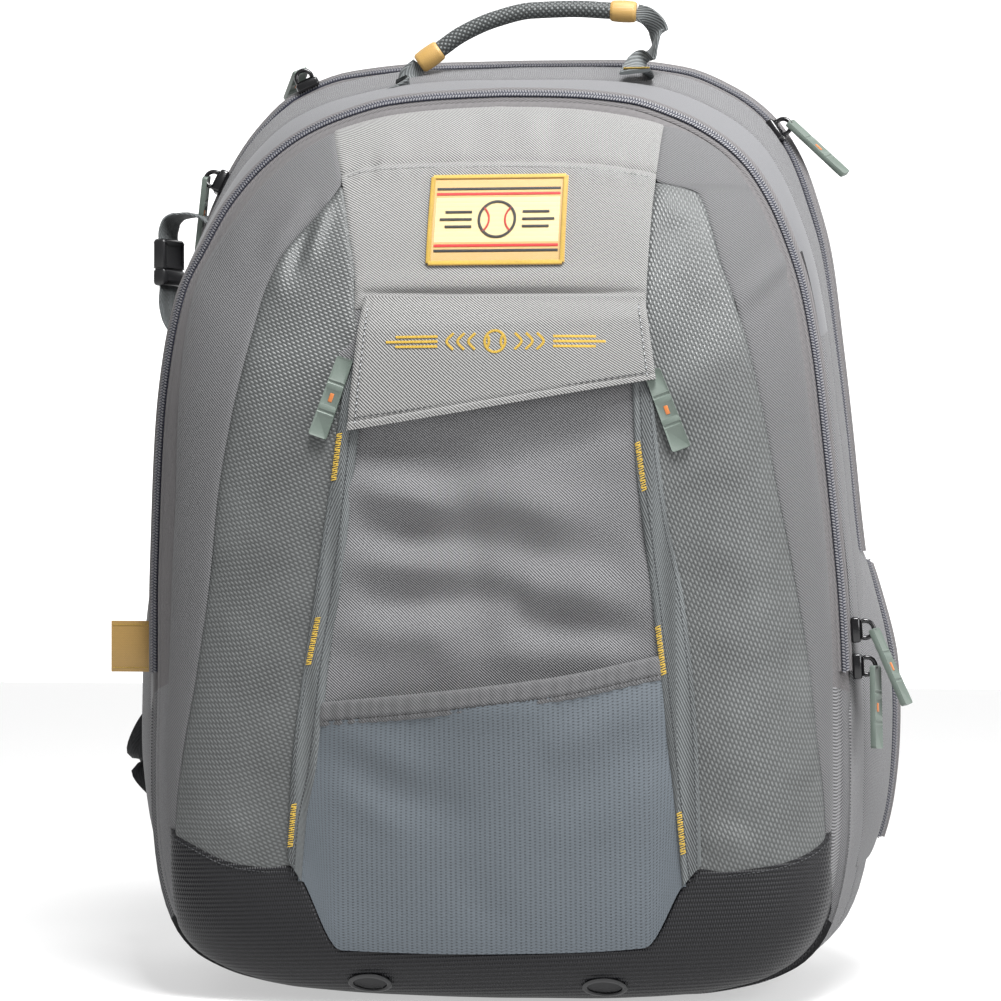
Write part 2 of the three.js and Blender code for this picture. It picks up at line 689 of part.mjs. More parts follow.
function joined(parts) {
  const mesh = parts.map(solidOf).reduce((sum, next) => sum.add(next)).getMesh();
  const geometry = new THREE.BufferGeometry();
  geometry.setAttribute('position', new THREE.Float32BufferAttribute(mesh.vertProperties, 3));
  geometry.setIndex(Array.from(mesh.triVerts));
  return geometry;
}

function sliderBody() {
  const body = new THREE.BoxGeometry(sliderWidth, sliderHeight, sliderLength);
  const bail = new THREE.TorusGeometry(ringRadius, ringWire, 6, 12);
  bail.rotateY(Math.PI / 2);
  bail.translate(0, sliderHeight / 2 + ringRadius * 0.4, 0);
  return joined([body, bail]);
}

// A moulded pull: z along its length from the bail, y its thickness
function pullTab() {
  const half = pullWidth / 2;
  const round = half * 0.6;
  const shape = new THREE.Shape();
  shape.moveTo(-half + round, 0);
  shape.lineTo(half - round, 0);
  shape.quadraticCurveTo(half, 0, half, round);
  shape.lineTo(half, pullLength - round);
  shape.quadraticCurveTo(half, pullLength, half - round, pullLength);
  shape.lineTo(-half + round, pullLength);
  shape.quadraticCurveTo(-half, pullLength, -half, pullLength - round);
  shape.lineTo(-half, round);
  shape.quadraticCurveTo(-half, 0, -half + round, 0);
  const extrusion = { depth: pullThickness, bevelEnabled: false, curveSegments: 3 };
  const tab = new THREE.ExtrudeGeometry(shape, extrusion);
  tab.rotateX(Math.PI / 2);
  tab.translate(0, pullThickness / 2, 0);
  return tab;
}

function place(mesh, origin, along, outward) {
  const z = along.clone().normalize();
  const y = outward.clone().addScaledVector(z, -outward.dot(z)).normalize();
  const x = new THREE.Vector3().crossVectors(y, z);
  mesh.quaternion.setFromRotationMatrix(new THREE.Matrix4().makeBasis(x, y, z));
  mesh.position.copy(origin);
}

// A place on a zip's arch: its point, its direction and the way out of the bag
function onZip(section, plane, side, z) {
  const point = (height) => {
    const share = (height - section.bottom) / (section.top - section.bottom);
    const x = section.halfWidth * atKey(halfLoop.filter(([, s]) => s > 0.3), share);
    return new THREE.Vector3(side * x, plane(height), height);
  };
  const along = point(z + 4).sub(point(z - 4)).normalize();
  return { point: point(z), along, outward: new THREE.Vector3(along.z * side, 0, -along.x * side) };
}

const vector = (x, y, z) => new THREE.Vector3(x, y, z);
const mainZipTop = zipTop + mainZipRise;
const mainArch = { section: sections[2], plane: (z) => sections[2].depth + sections[2].lean * leanAt(z) };
const frontArch = { section: sections[0], plane: zipPlane };
const zipSliders = [
  { name: 'main_right', arch: mainArch, side: 1, z: mainZipTop * 0.921,
    tab: vector(0.7, -0.07, -0.72), face: vector(0.7, 0, 0.7) },
  { name: 'main_left', arch: mainArch, side: -1, z: mainZipTop * 0.96,
    tab: vector(-0.55, 0.7, -0.35), face: vector(-0.4, 0, 0.9) },
  { name: 'side_left', arch: mainArch, side: -1, z: mainZipTop * 0.883,
    tab: vector(-0.5, -0.6, -0.62), face: vector(-1, 0, 0.2) },
  { name: 'front_upper', arch: frontArch, side: 1, z: frontZipStart + sliderLength * 2.3,
    tab: vector(0.4, -0.14, -0.9), face: vector(1, 0, 0.4) },
  { name: 'front_lower', arch: frontArch, side: 1, z: frontZipStart + sliderLength * 0.85,
    tab: vector(0.02, -0.1, -1), face: vector(1, 0, 0) },
];
const sliderSeat = chainThickness / 2 + sliderHeight / 2 + clearance;
const bailReach = sliderSeat + sliderHeight / 2 + ringRadius * 1.4 + ringWire;
for (const { name, arch, side, z, tab, face } of zipSliders) {
  const { point, along, outward } = onZip(arch.section, arch.plane, side, z);
  const slider = add(`zip_slider_${name}`, sliderBody(), blackMetal);
  place(slider, point.clone().addScaledVector(outward, sliderSeat), along, outward);
  const start = point.clone().addScaledVector(outward, bailReach + pullThickness / 2 + clearance);
  place(add(`zip_pull_${name}`, pullTab(), sageRubber), start, tab, face);
}

// Pulls of the zips hidden under the webbing strips, lying on the front face
const pocketPulls = {
  left: { top: [-0.41, 0.684], low: [-0.49, 0.59], over: overStrips },
  right: { top: [0.475, 0.655], low: [0.56, 0.57], over: skin },
};
for (const name of ['left', 'right']) {
  const { top, low, over } = pocketPulls[name];
  const lift = over + pullThickness / 2 + clearance * 2;
  const start = onFront(top[0] * zipHalfWidth, top[1] * zipTop, lift);
  const end = onFront(low[0] * zipHalfWidth, low[1] * zipTop, lift + clearance);
  place(add(`pocket_pull_${name}`, pullTab(), sageRubber), start, end.clone().sub(start), vector(0, -1, 0));
}

// Bat retention strap on the upper left flank, fastened by a side-release buckle:
// [out from the flank, height as a share of zipTop]
const retention = {
  upper: [[0.8, 0.8645], [15.6, 0.875], [25.9, 0.8665], [26.3, 0.8508]],
  lower: [[16.6, 0.7892], [16.2, 0.7735], [12.9, 0.7545], [6.7, 0.735]],
};
const retentionDepth = mainZipDepth + retentionSetback;
const strapFace = vector(0.35, 1, 0).normalize();
for (const name of ['upper', 'lower']) {
  const path = retention[name].map(([out, share]) => {
    return vector(-flank(retentionDepth, share * zipTop) - out, retentionDepth, share * zipTop);
  });
  const strip = swept(path, webbingWidth, webbingThickness, () => strapFace, 4);
  add(`bat_strap_${name}`, strip, webbing);
}
const buckle = add('bat_strap_buckle',
  new THREE.BoxGeometry(buckleWidth, buckleThickness, buckleLength), blackPlastic);
const buckleHeight = zipTop * 0.819;
const buckleOut = flank(retentionDepth, buckleHeight) + buckleReach;
place(buckle, vector(-buckleOut, retentionDepth, buckleHeight), vector(0, 0, 1), vector(-1, 0.35, 0));

// Lower strap webbing: an adjuster at each shoulder strap's end, then webbing out to the bag's corner:
// [x as a share of rearHalfWidth, z as a share of zipTop, share of the way forward to cornerDepth]
const webbingShares = {
  left: [[1.085, 0.325, 0.25], [1.346, 0.28, 0.85], [1.395, 0.235, 1], [1.281, 0.19, 1], [1.175, 0.165, 1]],
  right: [[0.938, 0.32, 0.1], [1.118, 0.28, 0.62], [1.2, 0.24, 1], [1.166, 0.2, 1]],
};
for (const [name, side] of [['left', -1], ['right', 1]]) {
  const [endX, endZ, endOut] = strapShares[strapShares.length - 1];
  const strapEnd = vector(side * strapSpacing * endX, strapSeat + strapBow * endOut, endZ * zipTop);
  const corners = webbingShares[name].map(([x, z, forward]) => vector(
    side * rearHalfWidth * x, mix(strapSeat, cornerDepth, forward), z * zipTop));
  const along = corners[0].clone().sub(strapEnd).normalize();
  const adjuster = add(`strap_adjuster_${name}`,
    new THREE.BoxGeometry(adjusterWidth, adjusterThickness, adjusterLength), blackPlastic);
  const centre = strapEnd.clone().addScaledVector(along, adjusterLength / 2 + adjusterReach);
  place(adjuster, centre, along, backwards);
  const start = strapEnd.clone().addScaledVector(along, adjusterLength + adjusterReach + clearance * 2);
  const face = vector(0.3 * side, 0.2, 1).normalize();
  const strip = swept([start, ...corners], webbingWidth, webbingThickness, () => face, 4);
  add(`strap_webbing_${name}`, strip, blackCloth);
}

// Side tag, folded satin sewn into the left flank
const tag = add('side_tag', new THREE.BoxGeometry(tagLength, tagThickness, tagHeight), goldSatin);
const tagCentre = flank(-tagForward, tagPlace) + tagLength / 2 + clearance * 2;
tag.position.set(-tagCentre, -tagForward, tagPlace);

// The origin is the middle of the whole part seen from above, on the surface that it stands on
const extent = new THREE.Box3().setFromObject(group);
const middle = extent.getCenter(new THREE.Vector3());
group.position.set(-middle.x, -middle.y, -extent.min.z);

export default group;
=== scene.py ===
"""A baseball backpack, dressed in cloth, webbing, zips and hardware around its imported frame."""

import math

import bmesh
import bpy
import numpy as np
from bpy.props import FloatProperty, FloatVectorProperty, PointerProperty
from mathutils import Matrix, Vector, noise


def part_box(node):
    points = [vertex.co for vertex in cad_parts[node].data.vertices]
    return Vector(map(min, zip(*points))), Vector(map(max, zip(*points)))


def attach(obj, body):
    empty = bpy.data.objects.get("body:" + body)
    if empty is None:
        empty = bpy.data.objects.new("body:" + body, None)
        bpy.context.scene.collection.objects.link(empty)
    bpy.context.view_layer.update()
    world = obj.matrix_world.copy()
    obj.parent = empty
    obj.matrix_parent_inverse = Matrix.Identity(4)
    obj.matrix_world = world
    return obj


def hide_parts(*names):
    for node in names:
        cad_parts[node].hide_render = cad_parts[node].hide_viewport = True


bl_info = {
    "name": "Baseball Backpack",
    "version": (1, 0, 0),
    "blender": (4, 5, 0),
    "location": "View3D > Sidebar > Backpack",
    "description": "Dresses the backpack's solids in cloth, webbing, zips and hardware",
    "category": "Object",
}

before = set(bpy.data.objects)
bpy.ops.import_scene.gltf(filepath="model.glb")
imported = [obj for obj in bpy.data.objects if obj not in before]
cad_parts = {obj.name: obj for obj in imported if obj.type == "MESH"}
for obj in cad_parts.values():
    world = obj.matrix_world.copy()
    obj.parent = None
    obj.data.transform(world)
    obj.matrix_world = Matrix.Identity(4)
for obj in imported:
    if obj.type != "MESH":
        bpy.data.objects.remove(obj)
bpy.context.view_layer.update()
MM = 0.001

# The bag is laid out in millimetres around the middle of its base plate, which says where the frame has it
BASE_MIDDLE = Vector((0, 12.4, 0))
BASE_LOW, BASE_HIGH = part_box("base_panel")
SHIFT = Vector(((BASE_LOW.x + BASE_HIGH.x) / 2, (BASE_LOW.y + BASE_HIGH.y) / 2, 0)) - BASE_MIDDLE * MM


# ---- Sizes and colours that a user would change

def length(name, value, description):
    return FloatProperty(name=name, default=value * MM, unit="LENGTH", description=description)


def tint(name, value, description):
    return FloatVectorProperty(name=name, default=value, subtype="COLOR", min=0, max=1,
                               description=description)


class BagSizes(bpy.types.PropertyGroup):
    """Sizes of the bag and its trim"""
    half_width: length("Half width", 181, "Half width of the front at the front zip")
    front_height: length("Front height", 472, "Height of the front zip's arch")
    front_depth: length("Front depth", 62, "How far the front zip stands before the middle")
    bulge: length("Bulge", 52, "Depth of the front dome")
    rear_depth: length("Rear depth", 124, "How far the back panel stands behind the middle")
    skin: length("Skin", 1.2, "Thickness of a sewn cloth panel")
    chain_width: length("Chain width", 4.0, "Width of a zip's teeth")
    tooth_pitch: length("Tooth pitch", 1.5, "Spacing of a zip's teeth")
    webbing_width: length("Webbing width", 19, "Width of the webbing strips")
    grip: length("Grip", 9, "Diameter of the grab handle")
    pull_length: length("Pull length", 42, "Length of a moulded zip pull")
    wrinkle: FloatProperty(name="Wrinkle", default=1.0, min=0, max=3,
                           description="Depth of folds and puckers")


class BagColours(bpy.types.PropertyGroup):
    """Colours of the bag, in linear light"""
    twill: tint("Twill", (0.118, 0.118, 0.122), "Main cloth")
    twill_light: tint("Light twill", (0.175, 0.174, 0.171), "Yoke cloth")
    band: tint("Band", (0.125, 0.126, 0.132), "Smooth band between the zips")
    embossed: tint("Embossed", (0.074, 0.078, 0.078), "Coated embossed cloth")
    boot: tint("Boot", (0.0055, 0.0055, 0.0065), "Ribbed base cloth")
    pocket: tint("Pocket", (0.078, 0.092, 0.106), "Stretch pocket cloth")
    webbing: tint("Webbing", (0.085, 0.092, 0.094), "Webbing")
    gold: tint("Gold", (0.42, 0.28, 0.04), "Gold thread")
    satin: tint("Satin", (0.36, 0.22, 0.065), "Gold satin")
    sage: tint("Sage", (0.1, 0.125, 0.108), "Moulded pulls")
    tape: tint("Tape", (0.1, 0.095, 0.097), "Zip tape")


# ---- Curves and tables

def smooth_table(rows):
    """A smooth function through rows of key and value, which doesn't swing past them"""
    keys, values = np.array(sorted(map(tuple, rows)), float).T
    steps = np.diff(values) / np.diff(keys)
    slopes = np.empty_like(keys)
    slopes[0], slopes[-1] = steps[0], steps[-1]
    before, after = steps[:-1], steps[1:]
    same = before * after > 0
    slopes[1:-1] = np.where(same, 2 * before * after / np.where(same, before + after, 1), 0)

    def at(key):
        key = np.clip(np.asarray(key, float), keys[0], keys[-1])
        i = np.clip(np.searchsorted(keys, key) - 1, 0, len(keys) - 2)
        span = keys[i + 1] - keys[i]
        t = (key - keys[i]) / span
        rise = (3 - 2 * t) * t ** 2
        return ((1 - rise) * values[i] + rise * values[i + 1]
                + (t ** 3 - 2 * t ** 2 + t) * span * slopes[i] + (t ** 3 - t ** 2) * span * slopes[i + 1])
    return at


def chords(points):
    """Length along a path at each of its points"""
    points = np.asarray(points, float)
    return np.concatenate([[0], np.cumsum(np.linalg.norm(np.diff(points, axis=0), axis=1))])


def resampled(points, count):
    """The same path with evenly spaced points"""
    points = np.asarray(points, float)
    places = chords(points)
    axes = [smooth_table(np.column_stack([places, points[:, k]])) for k in range(points.shape[1])]
    even = np.linspace(0, places[-1], count)
    return np.column_stack([axis(even) for axis in axes])


def unit(vectors):
    """The vectors at length 1"""
    vectors = np.asarray(vectors, float)
    return vectors / np.maximum(np.linalg.norm(vectors, axis=-1, keepdims=True), 1e-9)


def mix(a, b, share):
    """From a to b by a share"""
    return a + (b - a) * share


def ease(share):
    """A soft step from 0 to 1"""
    share = np.clip(share, 0, 1)
    return share * share * (3 - 2 * share)


def spread(count, crowding=0.5):
    """Shares from 0 to 1 that stand closer together near both ends"""
    even = np.linspace(0, 1, count)
    return mix(even, 0.5 - 0.5 * np.cos(np.pi * even), crowding)


def path_frames(path, facing):
    """Tangent, side and face of each point of a path; facing is one vector or one for each point"""
    path = np.asarray(path, float)
    along = unit(np.gradient(path, axis=0))
    facing = np.broadcast_to(np.asarray(facing, float), path.shape)
    face = unit(facing - along * np.sum(facing * along, axis=1, keepdims=True))
    return along, np.cross(along, face), face


# ---- The bag's surfaces, in millimetres: shares of half width and height

LOW_OUTLINE = [(0, 0), (.3, 0), (.56, .003), (.727, .014), (.85, .034), (.92, .06), (.962, .095), (.988, .14),
               (1, .19), (1.003, .25), (1, .33)]
FRONT_OUTLINES = {
    "right": [(.99, .42), (.972, .5), (.945, .6), (.918, .69), (.88, .77), (.835, .825), (.785, .87),
              (.71, .915), (.62, .946), (.51, .97), (.36, .99), (.17, .998), (0, 1)],
    "left": [(1, .42), (.995, .5), (.985, .6), (.962, .7), (.925, .777), (.873, .822), (.805, .874),
             (.7, .924), (.59, .957), (.47, .978), (.34, .992), (.17, .998), (0, 1)],
}
REAR_OUTLINES = {
    "right": [(.971, .42), (.948, .493), (.922, .596), (.893, .69), (.859, .785), (.82, .842), (.772, .892),
              (.7, .935), (.6, .966), (.46, .99), (.28, .999), (0, 1)],
    "left": [(1, .42), (.99, .5), (.975, .6), (.95, .7), (.9, .79), (.86, .842), (.81, .888),
             (.745, .93), (.65, .968), (.5, .991), (.28, .999), (0, 1)],
}
# Cross sections: depth, half width and top as shares of the front's, bottom, lean of the top; the rest in mm
SECTIONS = [(-62, 1, 1, 1.4, 42), (-34, 1.035, 1.021, 2.8, 42), (5, 1.061, 1.0466, 2.8, 37.8),
            (50, 1.061, 1.049, 2.8, 33.6), (94, .974, 1.035, 8.4, 21), (118, .856, 1.009, 25.2, 12.6)]
RIM = 0.968
RIM_STEP = 6
LEAN_START = 300
FRONT_ZIP_START = 160
MAIN_ZIP_START = 226
MAIN_ZIP_DEPTH = 5
BODY_CENTRE = np.array([0, 20, 236.0])

# Seams of the front, from the top down, as shares of half width and height
SEAM = {
    "right": [(0, .977), (.2, .973), (.419, .959), (.58, .935), (.652, .915), (.728, .874), (.794, .817),
              (.832, .772), (.866, .702), (.883, .656), (.919, .541), (.941, .456), (.952, .371),
              (.954, .218), (.946, .185), (.93, .11), (.9, .07)],
    "left": [(0, .977), (.22, .973), (.446, .955), (.65, .9), (.761, .845), (.854, .784), (.88, .707),
             (.887, .636), (.892, .541), (.903, .454), (.911, .367), (.915, .281), (.913, .211),
             (.896, .17), (.875, .11), (.84, .07)],
}
YOKE_SIDE = {
    "right": [(.47, .953), (.457, .88), (.447, .81), (.443, .745)],
    "left": [(.486, .95), (.433, .886), (.4, .829), (.373, .776), (.37, .745)],
}
EMBOSSED_OUTER = {
    "right": [(.463, .882), (.575, .87), (.613, .837), (.643, .797), (.686, .75), (.729, .694), (.765, .633),
              (.809, .541), (.844, .473), (.887, .372), (.912, .287), (.93, .219), (.935, .17)],
    "left": [(.432, .886), (.492, .85), (.535, .833), (.593, .8), (.636, .762), (.664, .718), (.689, .677),
             (.716, .63), (.756, .541), (.779, .455), (.822, .345), (.853, .282), (.876, .22), (.885, .17)],
}
STRIP_OUTER = {
    "right": [(.45, .7), (.465, .664), (.474, .622), (.507, .52), (.551, .436), (.581, .333), (.592, .259),
              (.599, .158)],
    "left": [(.36, .722), (.377, .703), (.389, .674), (.407, .626), (.426, .57), (.469, .456), (.514, .336),
             (.537, .268), (.547, .199), (.549, .155)],
}
STRIP_INNER = {
    "right": [(.4, .7), (.408, .663), (.419, .575), (.436, .52), (.463, .436), (.504, .289),
              (.529, .2), (.549, .13)],
    "left": [(.33, .66), (.35, .613), (.364, .563), (.404, .439), (.432, .37), (.469, .251),
             (.496, .199), (.511, .134)],
}
BOOT_TOP = {
    "right": [(0, .063), (.127, .064), (.442, .072), (.599, .158), (.67, .155), (.713, .157), (.808, .163),
              (.895, .175), (.946, .191)],
    "left": [(0, .063), (.112, .062), (.401, .064), (.549, .155), (.602, .152), (.666, .154), (.731, .159),
             (.828, .175), (.896, .187)],
}
SIDES = (("left", -1), ("right", 1))
BACK_EDGE = 118
WEBBING_THICKNESS = 1.9


def by_height(table, side):
    """Half width share of a front seam at a height share"""
    return smooth_table([(z, x) for x, z in table[side]])


class Bag:
    """The bag's curved surfaces, worked out from the sizes in the panel"""

    def __init__(self):
        sizes = bpy.context.scene.bag_sizes
        self.half = sizes.half_width / MM
        self.top = sizes.front_height / MM
        self.zip = -sizes.front_depth / MM
        self.bulge = sizes.bulge / MM
        self.rear = sizes.rear_depth / MM
        self.skin = sizes.skin / MM
        self.webbing = sizes.webbing_width / MM
        self.wrinkle = sizes.wrinkle
        self.centre = self.top / 2
        depths = [row[0] for row in SECTIONS]
        self.section = [smooth_table(list(zip(depths, [row[k] for row in SECTIONS]))) for k in range(1, 5)]
        self.outlines = {}
        self.polar = {}
        for side, _ in SIDES:
            for end, tops in (("front", FRONT_OUTLINES), ("rear", REAR_OUTLINES)):
                self.outlines[side, end] = resampled(LOW_OUTLINE + tops[side], 121)
            shares = self.outlines[side, "front"]
            bottom = self.section[2](self.zip)
            x = shares[:, 0] * self.half
            rise = bottom + shares[:, 1] * (self.top - bottom) - self.centre
            self.polar[side] = (np.arctan2(rise, x), np.hypot(x, rise))

    def lean_at(self, z):
        return np.maximum(0, (z - LEAN_START) / (self.top - LEAN_START)) ** 1.6

    def zip_plane(self, z):
        """Depth of the front zip at a height: it leans back at the top and sweeps under at the bottom"""
        return self.zip + 42 * self.lean_at(z) + 6 * np.maximum(0, 1 - z / 22) ** 1.5

    def edge_radius(self, x, angle):
        right, left = self.polar["right"], self.polar["left"]
        return np.where(x >= 0, np.interp(angle, *right), np.interp(angle, *left))

    def face(self, x, z):
        """Depth of the front face at a place in the front view: blunt at the bottom, rounder at the top"""
        angle = np.arctan2(z - self.centre, np.abs(x))
        reach = np.hypot(x, z - self.centre) / self.edge_radius(x, angle)
        down = np.maximum(0, -np.sin(angle)) ** 4
        rim = mix(RIM, 1, down)
        inside = np.clip(reach / rim, 0, 1)
        roundness = 6 - 2.8 * np.maximum(0, np.sin(angle)) ** 2 + 16 * down
        dome = (self.bulge - RIM_STEP) * np.sqrt(1 - inside ** roundness)
        return self.zip_plane(z) - RIM_STEP - dome

    def on_front(self, x, z, lift=0.0):
        """Points on the front face, lifted off it along its normal"""
        x, z = np.broadcast_arrays(np.asarray(x, float), np.asarray(z, float))
        step = 0.8
        slope_x = (self.face(x + step, z) - self.face(x - step, z)) / (2 * step)
        slope_z = (self.face(x, z + step) - self.face(x, z - step)) / (2 * step)
        normal = unit(np.stack([slope_x, -np.ones_like(x), slope_z], axis=-1))
        points = np.stack([x, self.face(x, z), z], axis=-1)
        return points + normal * np.broadcast_to(lift, x.shape)[..., None]

    def share_points(self, shares, lift=0.0):
        shares = np.asarray(shares, float)
        return self.on_front(shares[..., 0] * self.half, shares[..., 1] * self.top, lift)

    def loop(self, depth, count=121, rearness=None):
        """One closed cross section at a depth, from the bottom up the right side and down the left"""
        width, height, bottom, lean = (table(depth) for table in self.section)
        if rearness is None:
            rearness = np.clip((depth - self.zip) / (MAIN_ZIP_DEPTH - self.zip), 0, 1)
        pieces = []
        for side, sign in reversed(SIDES):
            shares = mix(self.outlines[side, "front"], self.outlines[side, "rear"], rearness)
            shares = shares[np.linspace(0, len(shares) - 1, count).round().astype(int)]
            z = bottom + shares[:, 1] * (height * self.top - bottom)
            y = depth + lean * self.lean_at(z)
            pieces.append(np.column_stack([sign * shares[:, 0] * width * self.half, y, z]))
        right, left = pieces
        return np.vstack([right, left[-2:0:-1]])

    def arch(self, depth, start, count=121, inset=0.0, rearness=None):
        """The part of a cross section above a height, from the right end over the top to the left"""
        loop = self.loop(depth, rearness=rearness)
        ends = [p for p in loop if p[2] > start]
        right = [p for p in ends if p[0] >= 0]
        left = [p for p in ends if p[0] < 0]
        path = resampled(right + left, count)
        along = unit(np.gradient(path, axis=0))
        outward = unit(np.column_stack([along[:, 2], np.zeros(count), -along[:, 0]]))
        return path - outward * inset, outward

    def flank(self, depth, z, sign):
        """Half width of the side at a depth and height"""
        side = "right" if sign > 0 else "left"
        width, height, bottom, _ = (table(depth) for table in self.section)
        share = (z - bottom) / (height * self.top - bottom)
        shares = self.outlines[side, "rear"]
        outer = shares[(shares[:, 1] > 0.02) & (shares[:, 0] > 0.3)]
        return width * self.half * np.interp(share, outer[:, 1], outer[:, 0])


def folds(x, z, table):
    """Height of soft ridges and dents in mm; a row is x, z of both ends, width and height, all in mm"""
    total = np.zeros(np.broadcast(x, z).shape)
    for x0, z0, x1, z1, width, height in table:
        span = math.hypot(x1 - x0, z1 - z0)
        along = ((x - x0) * (x1 - x0) + (z - z0) * (z1 - z0)) / span ** 2
        across = ((z - z0) * (x1 - x0) - (x - x0) * (z1 - z0)) / span
        end = np.maximum(0, np.maximum(-along, along - 1)) * span
        fade = ease(1.25 - np.abs(along - 0.5) * 1.5)
        total += height * fade * np.exp(-(across ** 2 + end ** 2) / width ** 2)
    return total


def ripple(x, z, scale, seed=0.0):
    """Gentle unevenness of laid cloth, between about -1 and 1"""
    flat = [noise.noise(Vector((a / scale, b / scale, seed))) for a, b in zip(np.ravel(x), np.ravel(z))]
    return np.reshape(flat, np.shape(x))


# ---- Making meshes

def object_mode():
    bpy.ops.object.mode_set(mode="OBJECT")


def edit_all():
    """Enters edit mode with everything selected"""
    bpy.ops.object.mode_set(mode="EDIT")
    bpy.ops.mesh.select_all(action="SELECT")


def deselect():
    if bpy.context.object and bpy.context.object.mode != "OBJECT":
        object_mode()
    bpy.ops.object.select_all(action="DESELECT")


def make_active(piece):
    deselect()
    piece.select_set(True)
    bpy.context.view_layer.objects.active = piece


def smooth_by_angle(piece, degrees=40):
    make_active(piece)
    bpy.ops.object.shade_smooth_by_angle(angle=math.radians(degrees))


def mesh_piece(name, points, faces, uvs=None, smooth=40):
    """A piece from points in mm, faces, and a UV in metres for each face corner"""
    mesh = bpy.data.meshes.new(name)
    placed = np.asarray(points, float) * MM + np.array(SHIFT)
    mesh.from_pydata(placed.tolist(), [], [list(map(int, f)) for f in faces])
    if uvs is not None:
        layer = mesh.uv_layers.new(name="cloth")
        layer.data.foreach_set("uv", (np.asarray(uvs, float) * MM).ravel())
    piece = bpy.data.objects.new(name, mesh)
    bpy.context.scene.collection.objects.link(piece)
    if smooth:
        smooth_by_angle(piece, smooth)
    return piece


def dressed(piece, finish, slot, *nodes):
    """Gives a piece its material and its body, and hides the solids it stands for; the slot is not used"""
    for material in finish if isinstance(finish, (list, tuple)) else [finish]:
        piece.data.materials.append(material)
    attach(piece, "root")
    if nodes:
        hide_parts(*nodes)
    return piece


def cloth_uvs(points, around):
    """Lengths along the cloth: across from the middle column, and up the middle column"""
    rows, columns = points.shape[:2]
    wide = np.concatenate([points, points[:, :1]], axis=1) if around else points
    across = np.linalg.norm(np.diff(wide, axis=1), axis=2)
    u = np.concatenate([np.zeros((rows, 1)), np.cumsum(across, axis=1)], axis=1)
    middle = 0 if around else columns // 2
    u = u - u[:, middle:middle + 1]
    if not around:
        u = u + points[:, middle, :1]
    v = chords(points[:, middle]) + points[0, middle, 2]
    return np.stack([u, np.broadcast_to(v[:, None], u.shape)], axis=-1)


def grid_normals(points, around, outward):
    column = np.roll(points, -1, 1) - np.roll(points, 1, 1) if around else np.gradient(points, axis=1)
    normals = unit(np.cross(column, np.gradient(points, axis=0)))
    facing = outward(points) if callable(outward) else np.asarray(outward, float)
    return normals if np.sum(normals * facing) > 0 else -normals


def from_centre(points):
    return points - BODY_CENTRE


def sheet_piece(name, points, wall, around=False, outward=from_centre, lift=None, pole=None, paint=None,
                flat=False):
    """A closed sheet of cloth from a grid of points: its outer side, its inner side and its rim"""
    normals = grid_normals(points, around, outward)
    if lift is not None:
        points = points + normals * np.broadcast_to(lift, points.shape[:2])[..., None]
    uvs = points[..., ::2] if flat else cloth_uvs(points, around)
    rows, columns = points.shape[:2]
    inner = points - normals * wall
    spans = columns if around else columns - 1
    r, c = np.meshgrid(np.arange(rows - 1), np.arange(spans), indexing="ij")
    after = (c + 1) % columns
    corners = np.stack([r * columns + c, r * columns + after, (r + 1) * columns + after,
                        (r + 1) * columns + c], axis=-1).reshape(-1, 4)
    corner_uvs = np.stack([uvs[r, c], uvs[r, c + 1], uvs[r + 1, c + 1], uvs[r + 1, c]],
                          axis=2).reshape(-1, 4, 2)
    a, b, d = (points.reshape(-1, 3)[corners[:, k]] for k in (0, 1, 3))
    turned = np.sum(np.cross(b - a, d - a) * normals.reshape(-1, 3)[corners[:, 0]]) < 0
    if turned:
        corners, corner_uvs = corners[:, ::-1], corner_uvs[:, ::-1]
    count = rows * columns
    faces = [*corners, *(corners[:, ::-1] + count)]
    loops = [corner_uvs.reshape(-1, 2), corner_uvs[:, ::-1].reshape(-1, 2)]
    vertices = [points.reshape(-1, 3), inner.reshape(-1, 3)]
    edges = {}
    for face in corners:
        for k in range(4):
            start, end = int(face[k]), int(face[(k + 1) % 4])
            if edges.pop((end, start), None) is None:
                edges[start, end] = True
    flat_uvs = uvs[:, :columns].reshape(-1, 2)
    last = (rows - 1) * columns
    for start, end in edges:
        if pole is not None and start >= last and end >= last:
            continue
        faces.append((start, start + count, end + count, end))
        loops.append(flat_uvs[[start, start, end, end]])
    if pole is not None:
        tip = points[-1].mean(axis=0) if pole is True else np.asarray(pole, float)
        inward = unit(normals[-1].mean(axis=0))
        vertices += [tip[None], tip[None] - inward * wall]
        for c in range(columns):
            ends = (last + c, last + (c + 1) % columns, 2 * count)
            ends = ends[::-1] if turned else ends
            faces += [ends, tuple(count + e if e < 2 * count else e + 1 for e in reversed(ends))]
            loops += [flat_uvs[[last + c] * 3], flat_uvs[[last + c] * 3]]
    piece = mesh_piece(name, np.vstack(vertices), faces, np.vstack(loops))
    if paint is not None:
        middles = points.reshape(-1, 3)[corners].mean(axis=1)
        chosen = np.zeros(len(faces), int)
        chosen[:len(corners)] = paint(middles)
        chosen[len(corners):2 * len(corners)] = chosen[:len(corners)]
        piece.data.polygons.foreach_set("material_index", chosen)
    return piece


